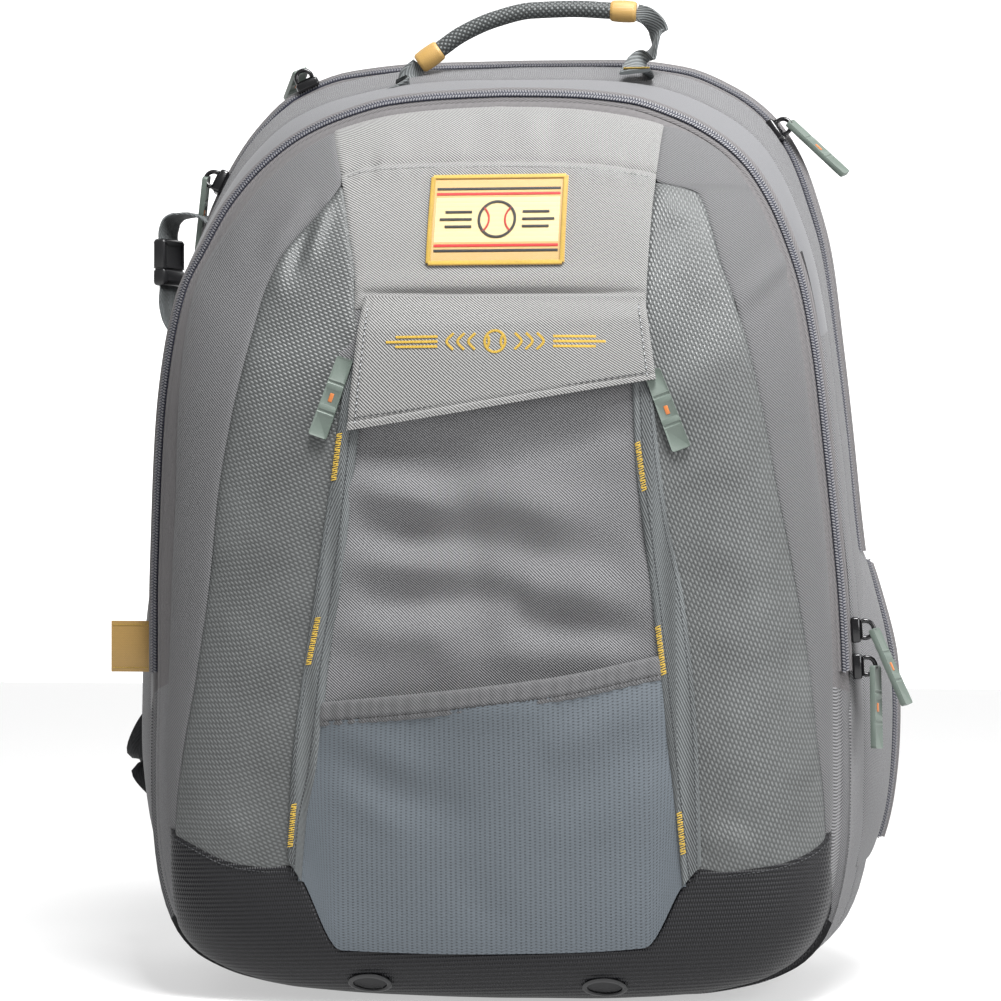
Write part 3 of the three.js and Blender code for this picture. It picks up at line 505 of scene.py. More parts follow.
def tube_mesh(path, facing, profile, closed=False):
    """Rings of a profile along a path: its rows are side and face offsets in mm, or one set a point"""
    _, side, face = path_frames(path, facing)
    profile = np.asarray(profile, float)
    if profile.ndim == 2:
        profile = np.broadcast_to(profile, (len(path), *profile.shape))
    rings = (np.asarray(path, float)[:, None] + side[:, None] * profile[..., :1]
             + face[:, None] * profile[..., 1:])
    rows, columns = rings.shape[:2]
    spans = rows if closed else rows - 1
    r, c = np.meshgrid(np.arange(spans), np.arange(columns), indexing="ij")
    below, after = (r + 1) % rows, (c + 1) % columns
    faces = np.stack([r * columns + c, r * columns + after, below * columns + after, below * columns + c],
                     axis=-1).reshape(-1, 4)
    lengths = chords(np.vstack([path, path[:1]]) if closed else path)
    around = np.concatenate([[0], np.cumsum(np.linalg.norm(
        np.diff(np.vstack([profile[0], profile[0][:1]]), axis=0), axis=1))])
    uvs = np.stack([np.stack([around[c], lengths[r]], -1), np.stack([around[c + 1], lengths[r]], -1),
                    np.stack([around[c + 1], lengths[r + 1]], -1), np.stack([around[c], lengths[r + 1]], -1)],
                   axis=2).reshape(-1, 4, 2)
    points = rings.reshape(-1, 3)
    a, b, d = (points[faces[:, k]] for k in (0, 1, 3))
    middle = np.repeat(rings.mean(axis=1), columns, axis=0)[:len(faces)]
    if np.sum(np.cross(b - a, d - a) * (a - middle)) < 0:
        faces, uvs = faces[:, ::-1], uvs[:, ::-1]
        first, last_ring = list(range(columns)), list(range((rows - 1) * columns, rows * columns))[::-1]
    else:
        first, last_ring = list(range(columns))[::-1], list(range((rows - 1) * columns, rows * columns))
    all_faces = [tuple(f) for f in faces]
    all_uvs = [uvs.reshape(-1, 2)]
    if not closed:
        all_faces += [tuple(first), tuple(last_ring)]
        all_uvs += [np.zeros((2 * columns, 2))]
    return points, all_faces, np.vstack(all_uvs)


def joined_meshes(parts):
    points, faces, uvs, count = [], [], [], 0
    for p, f, uv in parts:
        points.append(p)
        faces += [tuple(i + count for i in face) for face in f]
        uvs.append(uv)
        count += len(p)
    return np.vstack(points), faces, np.vstack(uvs)


def rounded(width, thickness, sides=12, squareness=4.0):
    """A flat profile with rounded edges"""
    angles = (np.arange(sides) + 0.5) * 2 * math.pi / sides
    c, s = np.cos(angles), np.sin(angles)
    reach = (np.abs(c) ** squareness + np.abs(s) ** squareness) ** (-1 / squareness)
    return np.column_stack([c * reach * width / 2, s * reach * thickness / 2])


def thread(length, radius, sides=6):
    """A short lying thread: its points and faces, along x, with z up"""
    rings = [(-0.42, 0.75), (0, 1), (0.42, 0.75)]
    angles = np.arange(sides) * 2 * math.pi / sides
    points = [(x * length, radius * k * math.cos(a), radius * k * math.sin(a))
              for x, k in rings for a in angles]
    points += [(-0.5 * length, 0, 0), (0.5 * length, 0, 0)]
    faces = [(r * sides + c, r * sides + (c + 1) % sides,
              (r + 1) * sides + (c + 1) % sides, (r + 1) * sides + c)
             for r in range(2) for c in range(sides)]
    faces += [(3 * sides, (c + 1) % sides, c) for c in range(sides)]
    faces += [(3 * sides + 1, 2 * sides + c, 2 * sides + (c + 1) % sides) for c in range(sides)]
    return np.array(points), faces


def scattered(template, origins, xs, ys, zs):
    """Copies of a small shape at each origin, on the given axes"""
    shape, faces = template
    origins, xs, ys, zs = (np.asarray(v, float)[:, None] for v in (origins, xs, ys, zs))
    points = origins + shape[None, :, :1] * xs + shape[None, :, 1:2] * ys + shape[None, :, 2:] * zs
    count = len(shape)
    all_faces = [tuple(i + k * count for i in face) for k in range(len(origins)) for face in faces]
    corners = sum(len(face) for face in faces) * len(origins)
    return points.reshape(-1, 3), all_faces, np.zeros((corners, 2))


def stitch_row(path, facing, pitch=3.0, stitch=2.1, radius=0.32, lift=0.15, slant=0.0):
    """A row of stitches along a path"""
    total = chords(path)[-1]
    even = resampled(path, max(3, int(total / pitch) + 1))
    if np.ndim(facing) == 2:
        facing = resampled(facing, len(even))
    along, side, face = path_frames(even, facing)
    middle = (even[1:] + even[:-1]) / 2 + face[1:] * lift
    turned = along[1:] * math.cos(slant) + side[1:] * math.sin(slant)
    return scattered(thread(stitch, radius), middle, turned, np.cross(face[1:], turned), face[1:])


def parts_piece(name, parts, smooth=40):
    """One piece from (mesh, material) parts: points, faces and UVs, each part in its own material"""
    points, faces, uvs = joined_meshes([mesh for mesh, _ in parts])
    piece = mesh_piece(name, points, faces, uvs, smooth)
    materials = []
    for _, material in parts:
        if material not in materials:
            materials.append(material)
            piece.data.materials.append(material)
    chosen = np.concatenate([np.full(len(mesh[1]), materials.index(material)) for mesh, material in parts])
    piece.data.polygons.foreach_set("material_index", chosen)
    return piece


def finished(piece, slot, *nodes):
    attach(piece, "root")
    if nodes:
        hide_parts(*nodes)
    return piece


# ---- Materials

class Nodes:
    """Places nodes in a tree and joins them"""

    def __init__(self, tree):
        self.tree = tree

    def add(self, kind, inputs=None, **settings):
        node = self.tree.nodes.new(kind)
        for name, value in settings.items():
            setattr(node, name, value)
        for name, value in (inputs or {}).items():
            self.feed(node.inputs[name], value)
        return node

    def feed(self, socket, value):
        if isinstance(value, bpy.types.NodeSocket):
            self.tree.links.new(value, socket)
        else:
            socket.default_value = value

    def math(self, operation, *values):
        node = self.add("ShaderNodeMath", operation=operation)
        for socket, value in zip(node.inputs, values):
            self.feed(socket, value)
        return node.outputs[0]

    def wave(self, value, phase=0.0):
        """A wave between 0 and 1, one turn for each unit"""
        turned = self.math("MULTIPLY_ADD", value, 2 * math.pi, phase)
        return self.math("MULTIPLY_ADD", self.math("SINE", turned), 0.5, 0.5)

    def plus(self, a, b):
        return self.math("ADD", a, b)

    def times(self, a, b):
        return self.math("MULTIPLY", a, b)

    def over(self, a, b):
        return self.math("DIVIDE", a, b)

    def noise(self, vector, scale, detail):
        return self.add("ShaderNodeTexNoise", {"Vector": vector, "Scale": scale, "Detail": detail}).outputs[0]

    def axes(self, vector):
        """Lengths across and up the cloth"""
        return self.add("ShaderNodeSeparateXYZ", {0: vector}).outputs[:2]

    def turned_axes(self, vector, degrees):
        """Two lengths across the cloth, turned by an angle"""
        x, y = self.axes(vector)
        c, s = math.cos(math.radians(degrees)), math.sin(math.radians(degrees))
        return (self.plus(self.times(x, c), self.times(y, s)),
                self.math("SUBTRACT", self.times(y, c), self.times(x, s)))

    def colours(self, share, dark, light):
        node = self.add("ShaderNodeMix", data_type="RGBA")
        for socket, value in ((0, share), (6, dark), (7, light)):
            self.feed(node.inputs[socket], value)
        return node.outputs[2]


def weave_group(name, sizes, pattern):
    """A node group that makes a height and a shade from a place on the cloth and some sizes"""
    if name in bpy.data.node_groups:
        return bpy.data.node_groups[name]
    tree = bpy.data.node_groups.new(name, "ShaderNodeTree")
    tree.interface.new_socket("Vector", in_out="INPUT", socket_type="NodeSocketVector")
    for label, value in sizes.items():
        tree.interface.new_socket(label, in_out="INPUT", socket_type="NodeSocketFloat").default_value = value
    for label in ("Height", "Shade"):
        tree.interface.new_socket(label, in_out="OUTPUT", socket_type="NodeSocketFloat")
    start, end = tree.nodes.new("NodeGroupInput"), tree.nodes.new("NodeGroupOutput")
    nodes = Nodes(tree)
    results = pattern(nodes, *list(start.outputs)[:len(sizes) + 1])
    for label, value in zip(("Height", "Shade"), results):
        nodes.feed(end.inputs[label], value)
    return tree


def twill_weave():
    """Diagonal ribs crossed by finer threads"""
    def pattern(nodes, vector, pitch):
        p, q = nodes.turned_axes(vector, 48)
        rib, cross = nodes.wave(nodes.over(p, pitch)), nodes.wave(nodes.over(q, nodes.times(pitch, 0.8)))
        weave = nodes.plus(nodes.times(rib, 0.76), nodes.times(cross, 0.24))
        strength = nodes.math("MULTIPLY_ADD", nodes.noise(vector, 60, 4), 1.4, 0.75)
        shade = nodes.times(nodes.math("SUBTRACT", weave, 0.5), strength)
        return weave, nodes.plus(shade, nodes.math("MULTIPLY_ADD", nodes.noise(vector, 900, 2), 0.5, 0.25))
    return weave_group("Twill weave", {"Pitch": 1.12 * MM}, pattern)


def herringbone():
    """Steep slanted threads that turn back at each rib across a tape"""
    def pattern(nodes, vector, rib, pitch):
        x, y = nodes.axes(vector)
        slanted = nodes.math("MULTIPLY_ADD", y, 0.42, nodes.math("PINGPONG", x, rib))
        height = nodes.plus(nodes.times(nodes.wave(nodes.over(slanted, pitch)), 0.7),
                            nodes.times(nodes.wave(nodes.over(x, rib)), 0.3))
        return height, nodes.plus(nodes.times(height, 0.75), nodes.times(nodes.noise(vector, 800, 2), 0.3))
    return weave_group("Herringbone", {"Rib": 4 * MM, "Pitch": 1.1 * MM}, pattern)


def basket_emboss():
    """Rows of small raised dashes, each row set half a dash along from the last"""
    def pattern(nodes, vector, dash, row):
        p, q = nodes.turned_axes(vector, -24)
        level = nodes.over(q, row)
        shifted = nodes.math("MULTIPLY_ADD", nodes.math("FLOOR", level), 0.5, nodes.over(p, dash))
        height = nodes.times(nodes.math("POWER", nodes.wave(shifted), 0.55),
                             nodes.math("POWER", nodes.wave(level, -math.pi / 2), 0.7))
        worn = nodes.math("MULTIPLY_ADD", nodes.noise(vector, 34, 4), 0.6, -0.15)
        return height, nodes.plus(nodes.times(height, 0.75), worn)
    return weave_group("Basket emboss", {"Dash": 3.3 * MM, "Row": 1.65 * MM}, pattern)


def corded():
    """Level cords crossed by fine dots"""
    def pattern(nodes, vector, cord, dot):
        p, q = nodes.turned_axes(vector, 3)
        level = nodes.over(q, cord)
        dots = nodes.wave(nodes.plus(nodes.over(p, dot), nodes.times(nodes.math("FLOOR", level), 0.5)))
        height = nodes.plus(nodes.times(nodes.wave(level), 0.65), nodes.times(dots, 0.35))
        return height, height
    return weave_group("Corded", {"Cord": 2.2 * MM, "Dot": 1.3 * MM}, pattern)


def ripstop_dots():
    """Upright rows of small sunk dashes, each row half a dash up from the last"""
    def pattern(nodes, vector, column, dash):
        x, y = nodes.axes(vector)
        across, up = nodes.over(x, column), nodes.over(y, dash)
        beside = nodes.math("ABSOLUTE", nodes.math("SUBTRACT", nodes.math("FRACT", across), 0.5))
        along = nodes.math("FRACT", nodes.math("MULTIPLY_ADD", nodes.math("FLOOR", across), 0.5, up))
        sunk = nodes.times(nodes.math("LESS_THAN", beside, 0.2), nodes.math("LESS_THAN", along, 0.35))
        level = nodes.wave(up)
        shade = nodes.plus(nodes.math("MULTIPLY_ADD", level, 0.12, 0.55),
                           nodes.times(nodes.noise(vector, 700, 2), 0.3))
        return (nodes.math("SUBTRACT", nodes.times(level, 0.25), sunk),
                nodes.math("SUBTRACT", shade, nodes.times(sunk, 0.6)))
    return weave_group("Ripstop dots", {"Column": 2.5 * MM, "Dot": 1.5 * MM}, pattern)


def braid():
    """Diamonds of crossing yarns round a cord"""
    def pattern(nodes, vector, yarn):
        a, b = (nodes.wave(nodes.over(axis, yarn)) for axis in nodes.turned_axes(vector, 45))
        height = nodes.times(a, b)
        return height, height
    return weave_group("Braid", {"Yarn": 2.2 * MM}, pattern)


def grain():
    """Fine unevenness of moulded or polished surfaces, on object coordinates"""
    def pattern(nodes, vector, scale):
        fine, broad = nodes.noise(vector, scale, 3), nodes.noise(vector, 45, 2)
        return fine, nodes.plus(nodes.times(fine, 0.4), nodes.times(broad, 0.6))
    return weave_group("Grain", {"Scale": 600.0}, pattern)


def patterned(name, weave, colour, dark=0.55, light=1.35, roughness=0.8, depth=0.25, settings=None,
              metallic=0.0, sheen=0.0, coat=0.0, shine=0.5, turned=0.0, rough_span=0.0):
    """A material whose colour, roughness and bump follow one pattern group"""
    if name in bpy.data.materials:
        return bpy.data.materials[name]
    material = bpy.data.materials.new(name)
    material.use_nodes = True
    tree = material.node_tree
    nodes = Nodes(tree)
    shader = tree.nodes["Principled BSDF"]
    place = nodes.add("ShaderNodeTexCoord").outputs["Object" if weave is grain else "UV"]
    if turned:
        turn = (0, 0, math.radians(turned))
        place = nodes.add("ShaderNodeMapping", {"Vector": place, "Rotation": turn}).outputs[0]
    pattern = nodes.add("ShaderNodeGroup", node_tree=weave())
    nodes.feed(pattern.inputs["Vector"], place)
    for label, value in (settings or {}).items():
        pattern.inputs[label].default_value = value
    shades = [tuple(min(1, c * k) for c in colour) + (1,) for k in (dark, light)]
    nodes.feed(shader.inputs["Base Color"], nodes.colours(pattern.outputs["Shade"], *shades))
    if rough_span:
        rough = nodes.math("MULTIPLY_ADD", pattern.outputs["Shade"], rough_span, roughness - rough_span / 2)
        nodes.feed(shader.inputs["Roughness"], rough)
    else:
        shader.inputs["Roughness"].default_value = roughness
    for label, value in (("Metallic", metallic), ("Specular IOR Level", shine), ("Sheen Weight", sheen),
                         ("Sheen Roughness", 0.5), ("Coat Weight", coat)):
        shader.inputs[label].default_value = value
    bump = nodes.add("ShaderNodeBump", {"Height": pattern.outputs["Height"], "Strength": 1.0,
                                        "Distance": depth * MM})
    nodes.feed(shader.inputs["Normal"], bump.outputs[0])
    return material


# The flanks' twill is the main twill darkened: painted shade on the sides, which the key light reaches less
SIDE_PAINTED_SHADE = {"left": 0.77, "right": 0.78}
FINE_RIB = {"Rib": 0.6 * MM, "Pitch": 0.5 * MM}


def finishes():
    """Every finish of the bag by name: title, weave, colour, dark and light parts, roughness, depth in mm"""
    c = bpy.context.scene.bag_colours
    left, right = ([v * SIDE_PAINTED_SHADE[side] for v in c.twill] for side in ("left", "right"))
    return {
        "twill": patterned("Twill", twill_weave, c.twill, 0.2, 1.8, 0.85, 0.22, sheen=0.05),
        "twill_light": patterned("Light twill", twill_weave, c.twill_light, 0.3, 1.7, 0.85, 0.22, sheen=0.05),
        # Darker copies of the twill for the two flanks: painted shade
        "side_left": patterned("Side twill", twill_weave, left, 0.45, 1.45, 0.8, 0.2, sheen=0.05, turned=6),
        "side_right": patterned("Side twill right", twill_weave, right, 0.45, 1.45, 0.8, 0.2, sheen=0.05,
                                turned=-4),
        # The flap's twill is lighter than the main twill as painted light: the raised flap catching the key
        # light from above
        "flap": patterned("Flap twill with painted light", twill_weave, c.twill_light, 0.2, 1.7, 0.8, 0.22, sheen=0.05),
        "band": patterned("Smooth band", twill_weave, c.band, 0.85, 1.12, 0.8, 0.04, {"Pitch": 0.8 * MM},
                          sheen=0.08),
        "embossed_left": patterned("Embossed cloth", basket_emboss, c.embossed, 0.45, 1.6, 0.42, 0.28,
                                   rough_span=-0.12),
        "embossed_right": patterned("Embossed cloth right", basket_emboss, c.embossed, 0.45, 1.75, 0.42, 0.3,
                                    rough_span=-0.12, turned=44),
        "boot": patterned("Ribbed boot", corded, c.boot, 0.4, 2.6, 0.45, 0.5, rough_span=-0.05, shine=0.28),
        "ripstop": patterned("Ripstop", ripstop_dots, c.pocket, 0.3, 1.3, 0.7, 0.2, sheen=0.05),
        "webbing": patterned("Webbing", herringbone, c.webbing, 0.04, 1.9, 0.75, 0.35,
                             {"Rib": 12 * MM, "Pitch": 1.25 * MM}),
        "tape": patterned("Zip tape", herringbone, c.tape, 0.55, 1.5, 0.8, 0.2,
                          {"Rib": 2.4 * MM, "Pitch": 1.2 * MM}),
        "tooth": patterned("Zip teeth", grain, (0.13, 0.13, 0.14), 0.8, 1.3, 0.45, 0.02),
        "navy": patterned("Zip core", grain, (0.012, 0.014, 0.03), 0.6, 1.4, 0.6, 0.05),
        "gold": patterned("Gold thread", grain, c.gold, 0.7, 1.4, 0.45, 0.05, sheen=0.08),
        "satin": patterned("Gold satin", herringbone, c.satin, 0.75, 1.25, 0.4, 0.08, FINE_RIB),
        "cream": patterned("Cream satin", herringbone, (0.5, 0.4, 0.2), 0.8, 1.15, 0.4, 0.08, FINE_RIB),
        "red": patterned("Red thread", grain, (0.45, 0.02, 0.02), 0.7, 1.3, 0.5, 0.05),
        "ink": patterned("Black thread", grain, (0.015, 0.014, 0.014), 0.7, 1.3, 0.5, 0.05),
        "copper": patterned("Copper enamel", grain, (0.4, 0.13, 0.035), 0.8, 1.2, 0.35, 0.02),
        "stitch": patterned("Grey thread", grain, (0.2, 0.2, 0.2), 0.7, 1.3, 0.6, 0.04),
        "dark_stitch": patterned("Dark thread", grain, (0.03, 0.032, 0.035), 0.7, 1.3, 0.5, 0.04),
        "black_metal": patterned("Black metal", grain, (0.008, 0.008, 0.009), 0.7, 1.3, 0.22, 0.01,
                                 metallic=0.4, coat=0.4),
        "black_plastic": patterned("Black plastic", grain, (0.011, 0.011, 0.012), 0.7, 1.4, 0.3, 0.02),
        "sage": patterned("Sage rubber", grain, c.sage, 0.85, 1.15, 0.5, 0.03),
        "black_cloth": patterned("Black webbing", herringbone, (0.014, 0.0145, 0.016), 0.6, 1.6, 0.8, 0.25,
                                 {"Rib": 5 * MM, "Pitch": 1.6 * MM}),
        # Near-black cloth used only as painted shade: in the seams between front panels, in a groove and in
        # the eyelets' holes
        "lining": patterned("Lining", twill_weave, (0.01, 0.01, 0.011), 0.6, 1.5, 0.7, 0.05),
        "mesh": patterned("Spacer mesh", corded, (0.02, 0.021, 0.023), 0.4, 1.9, 0.85, 0.6,
                          {"Cord": 3.2 * MM, "Dot": 3.2 * MM}),
        "grip": patterned("Braided grip", braid, (0.05, 0.055, 0.055), 0.45, 2.4, 0.5, 0.4),
        "pale": patterned("Pale thread", herringbone, (0.34, 0.35, 0.36), 0.7, 1.3, 0.7, 0.1,
                          {"Rib": 1.5 * MM, "Pitch": 1.0 * MM}),
    }


# ---- Pieces of the front

def edge_fall(u, v, width, height, depth=1.6, reach=2.2, low=True, high=True):
    """How cloth dives into the seams round a panel: a drop in mm from each edge"""
    across = np.minimum(u, 1 - u) * width
    up = np.full(np.broadcast(u, v).shape, 1e3)
    if low:
        up = np.minimum(up, v * height)
    if high:
        up = np.minimum(up, (1 - v) * height)
    near = np.minimum(across, up)
    return -depth * np.exp(-near / reach) * (near < 6 * reach)


def panel_grid(columns, rows, crowding=0.45):
    return np.meshgrid(spread(columns, crowding), spread(rows, crowding))


def front_sheet(bag, name, x, z, lift, finish, slot, *nodes, flat=False):
    """A sewn panel of the front from shares of its size and its lift in mm"""
    points = bag.on_front(x * bag.half, z * bag.top, 0)
    piece = sheet_piece(name, points, bag.skin, outward=(0, -1, 0), lift=lift + bag.skin, flat=flat)
    return dressed(piece, finish, slot, *nodes)


# Folds of the front's panels: x and z of both ends, width and height, all in mm
BORDER_FOLDS = {
    "right": [(125, 352, 152, 382, 5, 1.7), (129, 346, 154, 374, 4, -0.6), (118, 356, 140, 388, 5, -0.4)],
    "left": [(-88, 404, -106, 372, 5, -2.0), (-97, 410, -112, 380, 6, 1.6), (-76, 398, -92, 368, 5, 1.4),
             (-118, 404, -124, 380, 6, -0.5)],
}
EMBOSSED_FOLDS = {
    "right": [(86, 410, 96, 395, 6, 1.2), (90, 300, 118, 330, 12, 0.8), (112, 82, 128, 90, 7, 1.4),
              (120, 100, 138, 92, 8, -1.0)],
    "left": [(-84, 406, -92, 380, 4, 1.6), (-92, 396, -100, 372, 4, -1.4), (-104, 384, -108, 360, 6, 1.2),
             (-120, 84, -132, 92, 8, 0.8)],
}
YOKE_FOLDS = [(-8, 452, -14, 436, 7, -1.0), (14, 456, 20, 434, 8, 1.2), (30, 454, 26, 432, 7, -1.0),
              (-50, 440, -60, 428, 6, 0.8), (-70, 364, 70, 366, 5, 1.4), (-62, 359.5, 78, 359, 1.5, -2.0)]
CENTRE_FOLDS = [(-64, 286, 8, 270, 13, -4.6), (8, 280, 66, 292, 10, -3.0), (-66, 262, -20, 252, 11, 4.2),
                (-12, 262, 50, 246, 13, 3.6), (-60, 242, 0, 236, 11, -4.6), (-6, 236, 66, 226, 12, -2.4),
                (-66, 224, -14, 222, 9, 3.0), (6, 218, 70, 208, 12, 3.8), (-56, 206, 16, 208, 10, -3.6),
                (18, 196, 76, 190, 9, -3.4), (-70, 188, -10, 190, 10, 3.2), (-20, 178, 60, 180, 8, 1.6)]
POCKET_FOLDS = [(-78, 140, -30, 118, 10, 2.0), (-70, 128, -10, 96, 12, -1.8), (-76, 112, -40, 90, 9, 1.4),
                (82, 156, 36, 132, 10, 2.0), (88, 140, 40, 104, 12, -1.8), (60, 90, 84, 120, 9, 1.2),
                (-20, 150, 30, 152, 9, 1.2), (-10, 70, 10, 34, 12, -0.8)]
FLAP_FOLDS = [(-60, 350, 70, 352, 5, 1.0), (-50, 330, 40, 336, 14, 0.9)]


def side_panels(bag, finish):
    """Smooth border panels along the front zip"""
    for side, sign in SIDES:
        outer, inner = by_height(SEAM, side), by_height(EMBOSSED_OUTER, side)
        yoke = by_height(YOKE_SIDE, side)
        u, v = panel_grid(26, 190)
        z = mix(0.188, 0.9505, v)
        edge = np.where(z > 0.884, yoke(z), inner(z))
        x = sign * mix(edge, np.maximum(outer(z), edge + 0.004), u if sign > 0 else 1 - u)
        width = (outer(z) - edge) * bag.half
        lift = edge_fall(u, v, width, bag.top * 0.76, depth=0.9, reach=1.1)
        lift = lift + 0.35 * ripple(x * bag.half, z * bag.top, 55, sign) * bag.wrinkle
        lift = lift + folds(x * bag.half, z * bag.top, BORDER_FOLDS[side]) * bag.wrinkle
        # The side twill's darker colour is painted shade
        front_sheet(bag, f"side_cloth_{side}", x, z, lift, finish[f"side_{side}"],
                    "twill", f"border_panel_{side}")


def embossed_panels(bag, finish):
    """Coated panels between the border and the webbing strips"""
    for side, sign in SIDES:
        outer, strip = by_height(EMBOSSED_OUTER, side), by_height(STRIP_OUTER, side)
        yoke, boot = by_height(YOKE_SIDE, side), smooth_table(BOOT_TOP[side])
        u, v = panel_grid(60, 170)
        outward = u if sign > 0 else 1 - u
        low = boot(mix(0.56, 0.93, outward))
        for _ in range(3):
            low = boot(mix(strip(low) - 0.02, outer(low), outward)) - 0.007
        z = mix(low, 0.8815, v)
        inner = np.where(z > 0.745, yoke(z), mix(yoke(0.745), strip(z) - 0.02, ease((0.745 - z) / 0.05)))
        edge = np.maximum(outer(z), inner + 0.002)
        x = sign * mix(inner, edge, outward)
        width = (edge - inner) * bag.half
        lift = edge_fall(u, v, width, bag.top * 0.7, depth=1.0, reach=1.2)
        lift = lift + 0.5 * ripple(x * bag.half, z * bag.top, 60, 3 + sign) * bag.wrinkle
        lift = lift + folds(x * bag.half, z * bag.top, EMBOSSED_FOLDS[side]) * bag.wrinkle
        front_sheet(bag, f"embossed_cloth_{side}", x, z, lift, finish[f"embossed_{side}"],
                    "embossed_cloth", f"textured_panel_{side}")


CROSS_SEAM = [(-.47, .893), (-.43, .897), (-.36, .905), (-.2, .908), (0, .908), (.2, .906), (.36, .9),
              (.46, .893)]


def yoke_panel(bag, finish):
    """The light yoke with its puckered cross seam"""
    left, right = by_height(YOKE_SIDE, "left"), by_height(YOKE_SIDE, "right")
    u, v = panel_grid(110, 100, 0.3)
    seams = {side: smooth_table([(x, z) for x, z in SEAM[side] if z > 0.9 or x > 0.5]) for side, _ in SIDES}
    guess = mix(-0.47, 0.47, u)
    top = np.where(guess < 0, seams["left"](-guess), seams["right"](guess)) - 0.001
    z = mix(0.7445, top, v)
    x = mix(-left(z), right(z), u)
    xs, zs = x * bag.half, z * bag.top
    width = (left(z) + right(z)) * bag.half
    lift = edge_fall(u, v, width, bag.top * 0.22, depth=0.9, reach=1.2)
    off = zs - smooth_table(CROSS_SEAM)(x) * bag.top
    pucker = 0.5 * np.sin(xs * 0.62) + 0.35 * np.sin(xs * 0.23 + 1.0)
    lift = lift - 1.5 * np.exp(-np.abs(off) / 1.5)
    lift = lift + (0.9 + 0.5 * pucker) * np.exp(-((off + 5) / 5) ** 2) * bag.wrinkle
    lift = lift + 0.3 * pucker * np.exp(-((off - 4) / 5) ** 2) * bag.wrinkle
    lift = lift + folds(xs, zs, YOKE_FOLDS) * bag.wrinkle + 0.4 * ripple(xs, zs, 38, 7) * bag.wrinkle
    front_sheet(bag, "yoke_cloth", x, z, lift, finish["twill_light"], "light_twill", "yoke_panel")


def centre_panel(bag, finish):
    """The creased panel between the flap and the stretch pocket"""
    u, v = panel_grid(120, 150, 0.2)
    z = mix(0.3, 0.7475, v)
    left, right = by_height(STRIP_OUTER, "left"), by_height(STRIP_OUTER, "right")
    wider = 0.05 * ease((z - 0.66) / 0.04)
    x = mix(-left(z) + 0.02 - wider, right(z) - 0.02 + wider, u)
    xs, zs = x * bag.half, z * bag.top
    lift = 1.25 * folds(xs, zs, CENTRE_FOLDS) * bag.wrinkle + 1.2 * ripple(xs, zs, 24, 11) * bag.wrinkle
    hollow = np.exp(-((zs - 345) / 12) ** 2) * -1.2
    front_sheet(bag, "centre_cloth", x, z, lift + hollow, finish["twill"], "twill", "centre_panel")


def boot_panel(bag, finish):
    """Ribbed cloth over the front's lowest part"""
    u, v = np.meshgrid(np.linspace(0, 1, 220), spread(60, 0.3))
    x = mix(-0.9, 0.948, u)
    tops = {side: smooth_table(BOOT_TOP[side]) for side, _ in SIDES}
    top = np.where(x < 0, tops["left"](-x), tops["right"](x))
    outline = smooth_table(LOW_OUTLINE)
    low = outline(np.abs(x) / 0.985) + 0.004
    z = mix(low, top - 0.001, v ** 1.15)
    xs, zs = x * bag.half, z * bag.top
    height = (top - low) * bag.top
    lift = edge_fall(u, v, 340.0, height, depth=1.2, reach=1.6, low=False)
    lift = lift + 0.5 * ripple(xs, zs, 40, 15) * bag.wrinkle
    front_sheet(bag, "boot_cloth", x, z, lift + 0.3, finish["boot"], "boot_cloth", "base_boot", flat=True)



def front_cloth(bag, finish):
    """The front's own cloth, which shows as a rounded welt between the panels' seam and the zip; its middle
    under the panels is near-black, painted shade that shows in the gaps between them
    """
    loop = bag.loop(bag.zip, rearness=0)
    x, rise = loop[:, 0], loop[:, 2] - bag.centre
    outer = np.linspace(1, RIM, 7)
    inner = np.concatenate([np.linspace(RIM, 0.945, 16)[1:], np.linspace(0.94, 0.88, 6)])
    reaches = np.concatenate([outer, inner, [0.82, 0.7, 0.5, 0.25, 0.08]])[:, None]
    xs, zs = x * reaches, rise * reaches + bag.centre
    points = bag.on_front(xs, zs, 0)
    down = np.maximum(0, -rise / np.hypot(x, rise)) ** 4
    beyond = np.clip((reaches - RIM) / (1 - RIM), 0, 1) * (1 - down)
    points[..., 1] += (RIM_STEP + 0.5) * (1 - np.sqrt(1 - beyond ** 2))
    welt = np.clip((RIM - reaches) / 0.017, 0, 1)
    lift = np.sin(welt * math.pi) ** 0.7 * (1 - down) - 9 * ease((0.9 - reaches) / 0.08)

    def paint(middles):
        depth = middles[:, 1] - bag.zip_plane(middles[:, 2])
        edge = np.where(middles[:, 2] < FRONT_ZIP_START, 1, 0)
        # The middle under the panels is near-black: painted shade for the seams between the panels
        painted_seam_shade = (depth < -30) & (np.abs(middles[:, 0]) < 0.72 * bag.half)
        return np.where(middles[:, 2] < 40, 2, np.where(painted_seam_shade, 3, edge))
    piece = sheet_piece("front_cloth", points, bag.skin, around=True, outward=(0, -1, 0),
                        lift=lift + 0 * xs, pole=True, paint=paint)
    cloths = [finish[name] for name in ("tape", "twill", "boot", "lining")]
    dressed(piece, cloths, "twill", "front_shell")


BAND_SEAM = -32


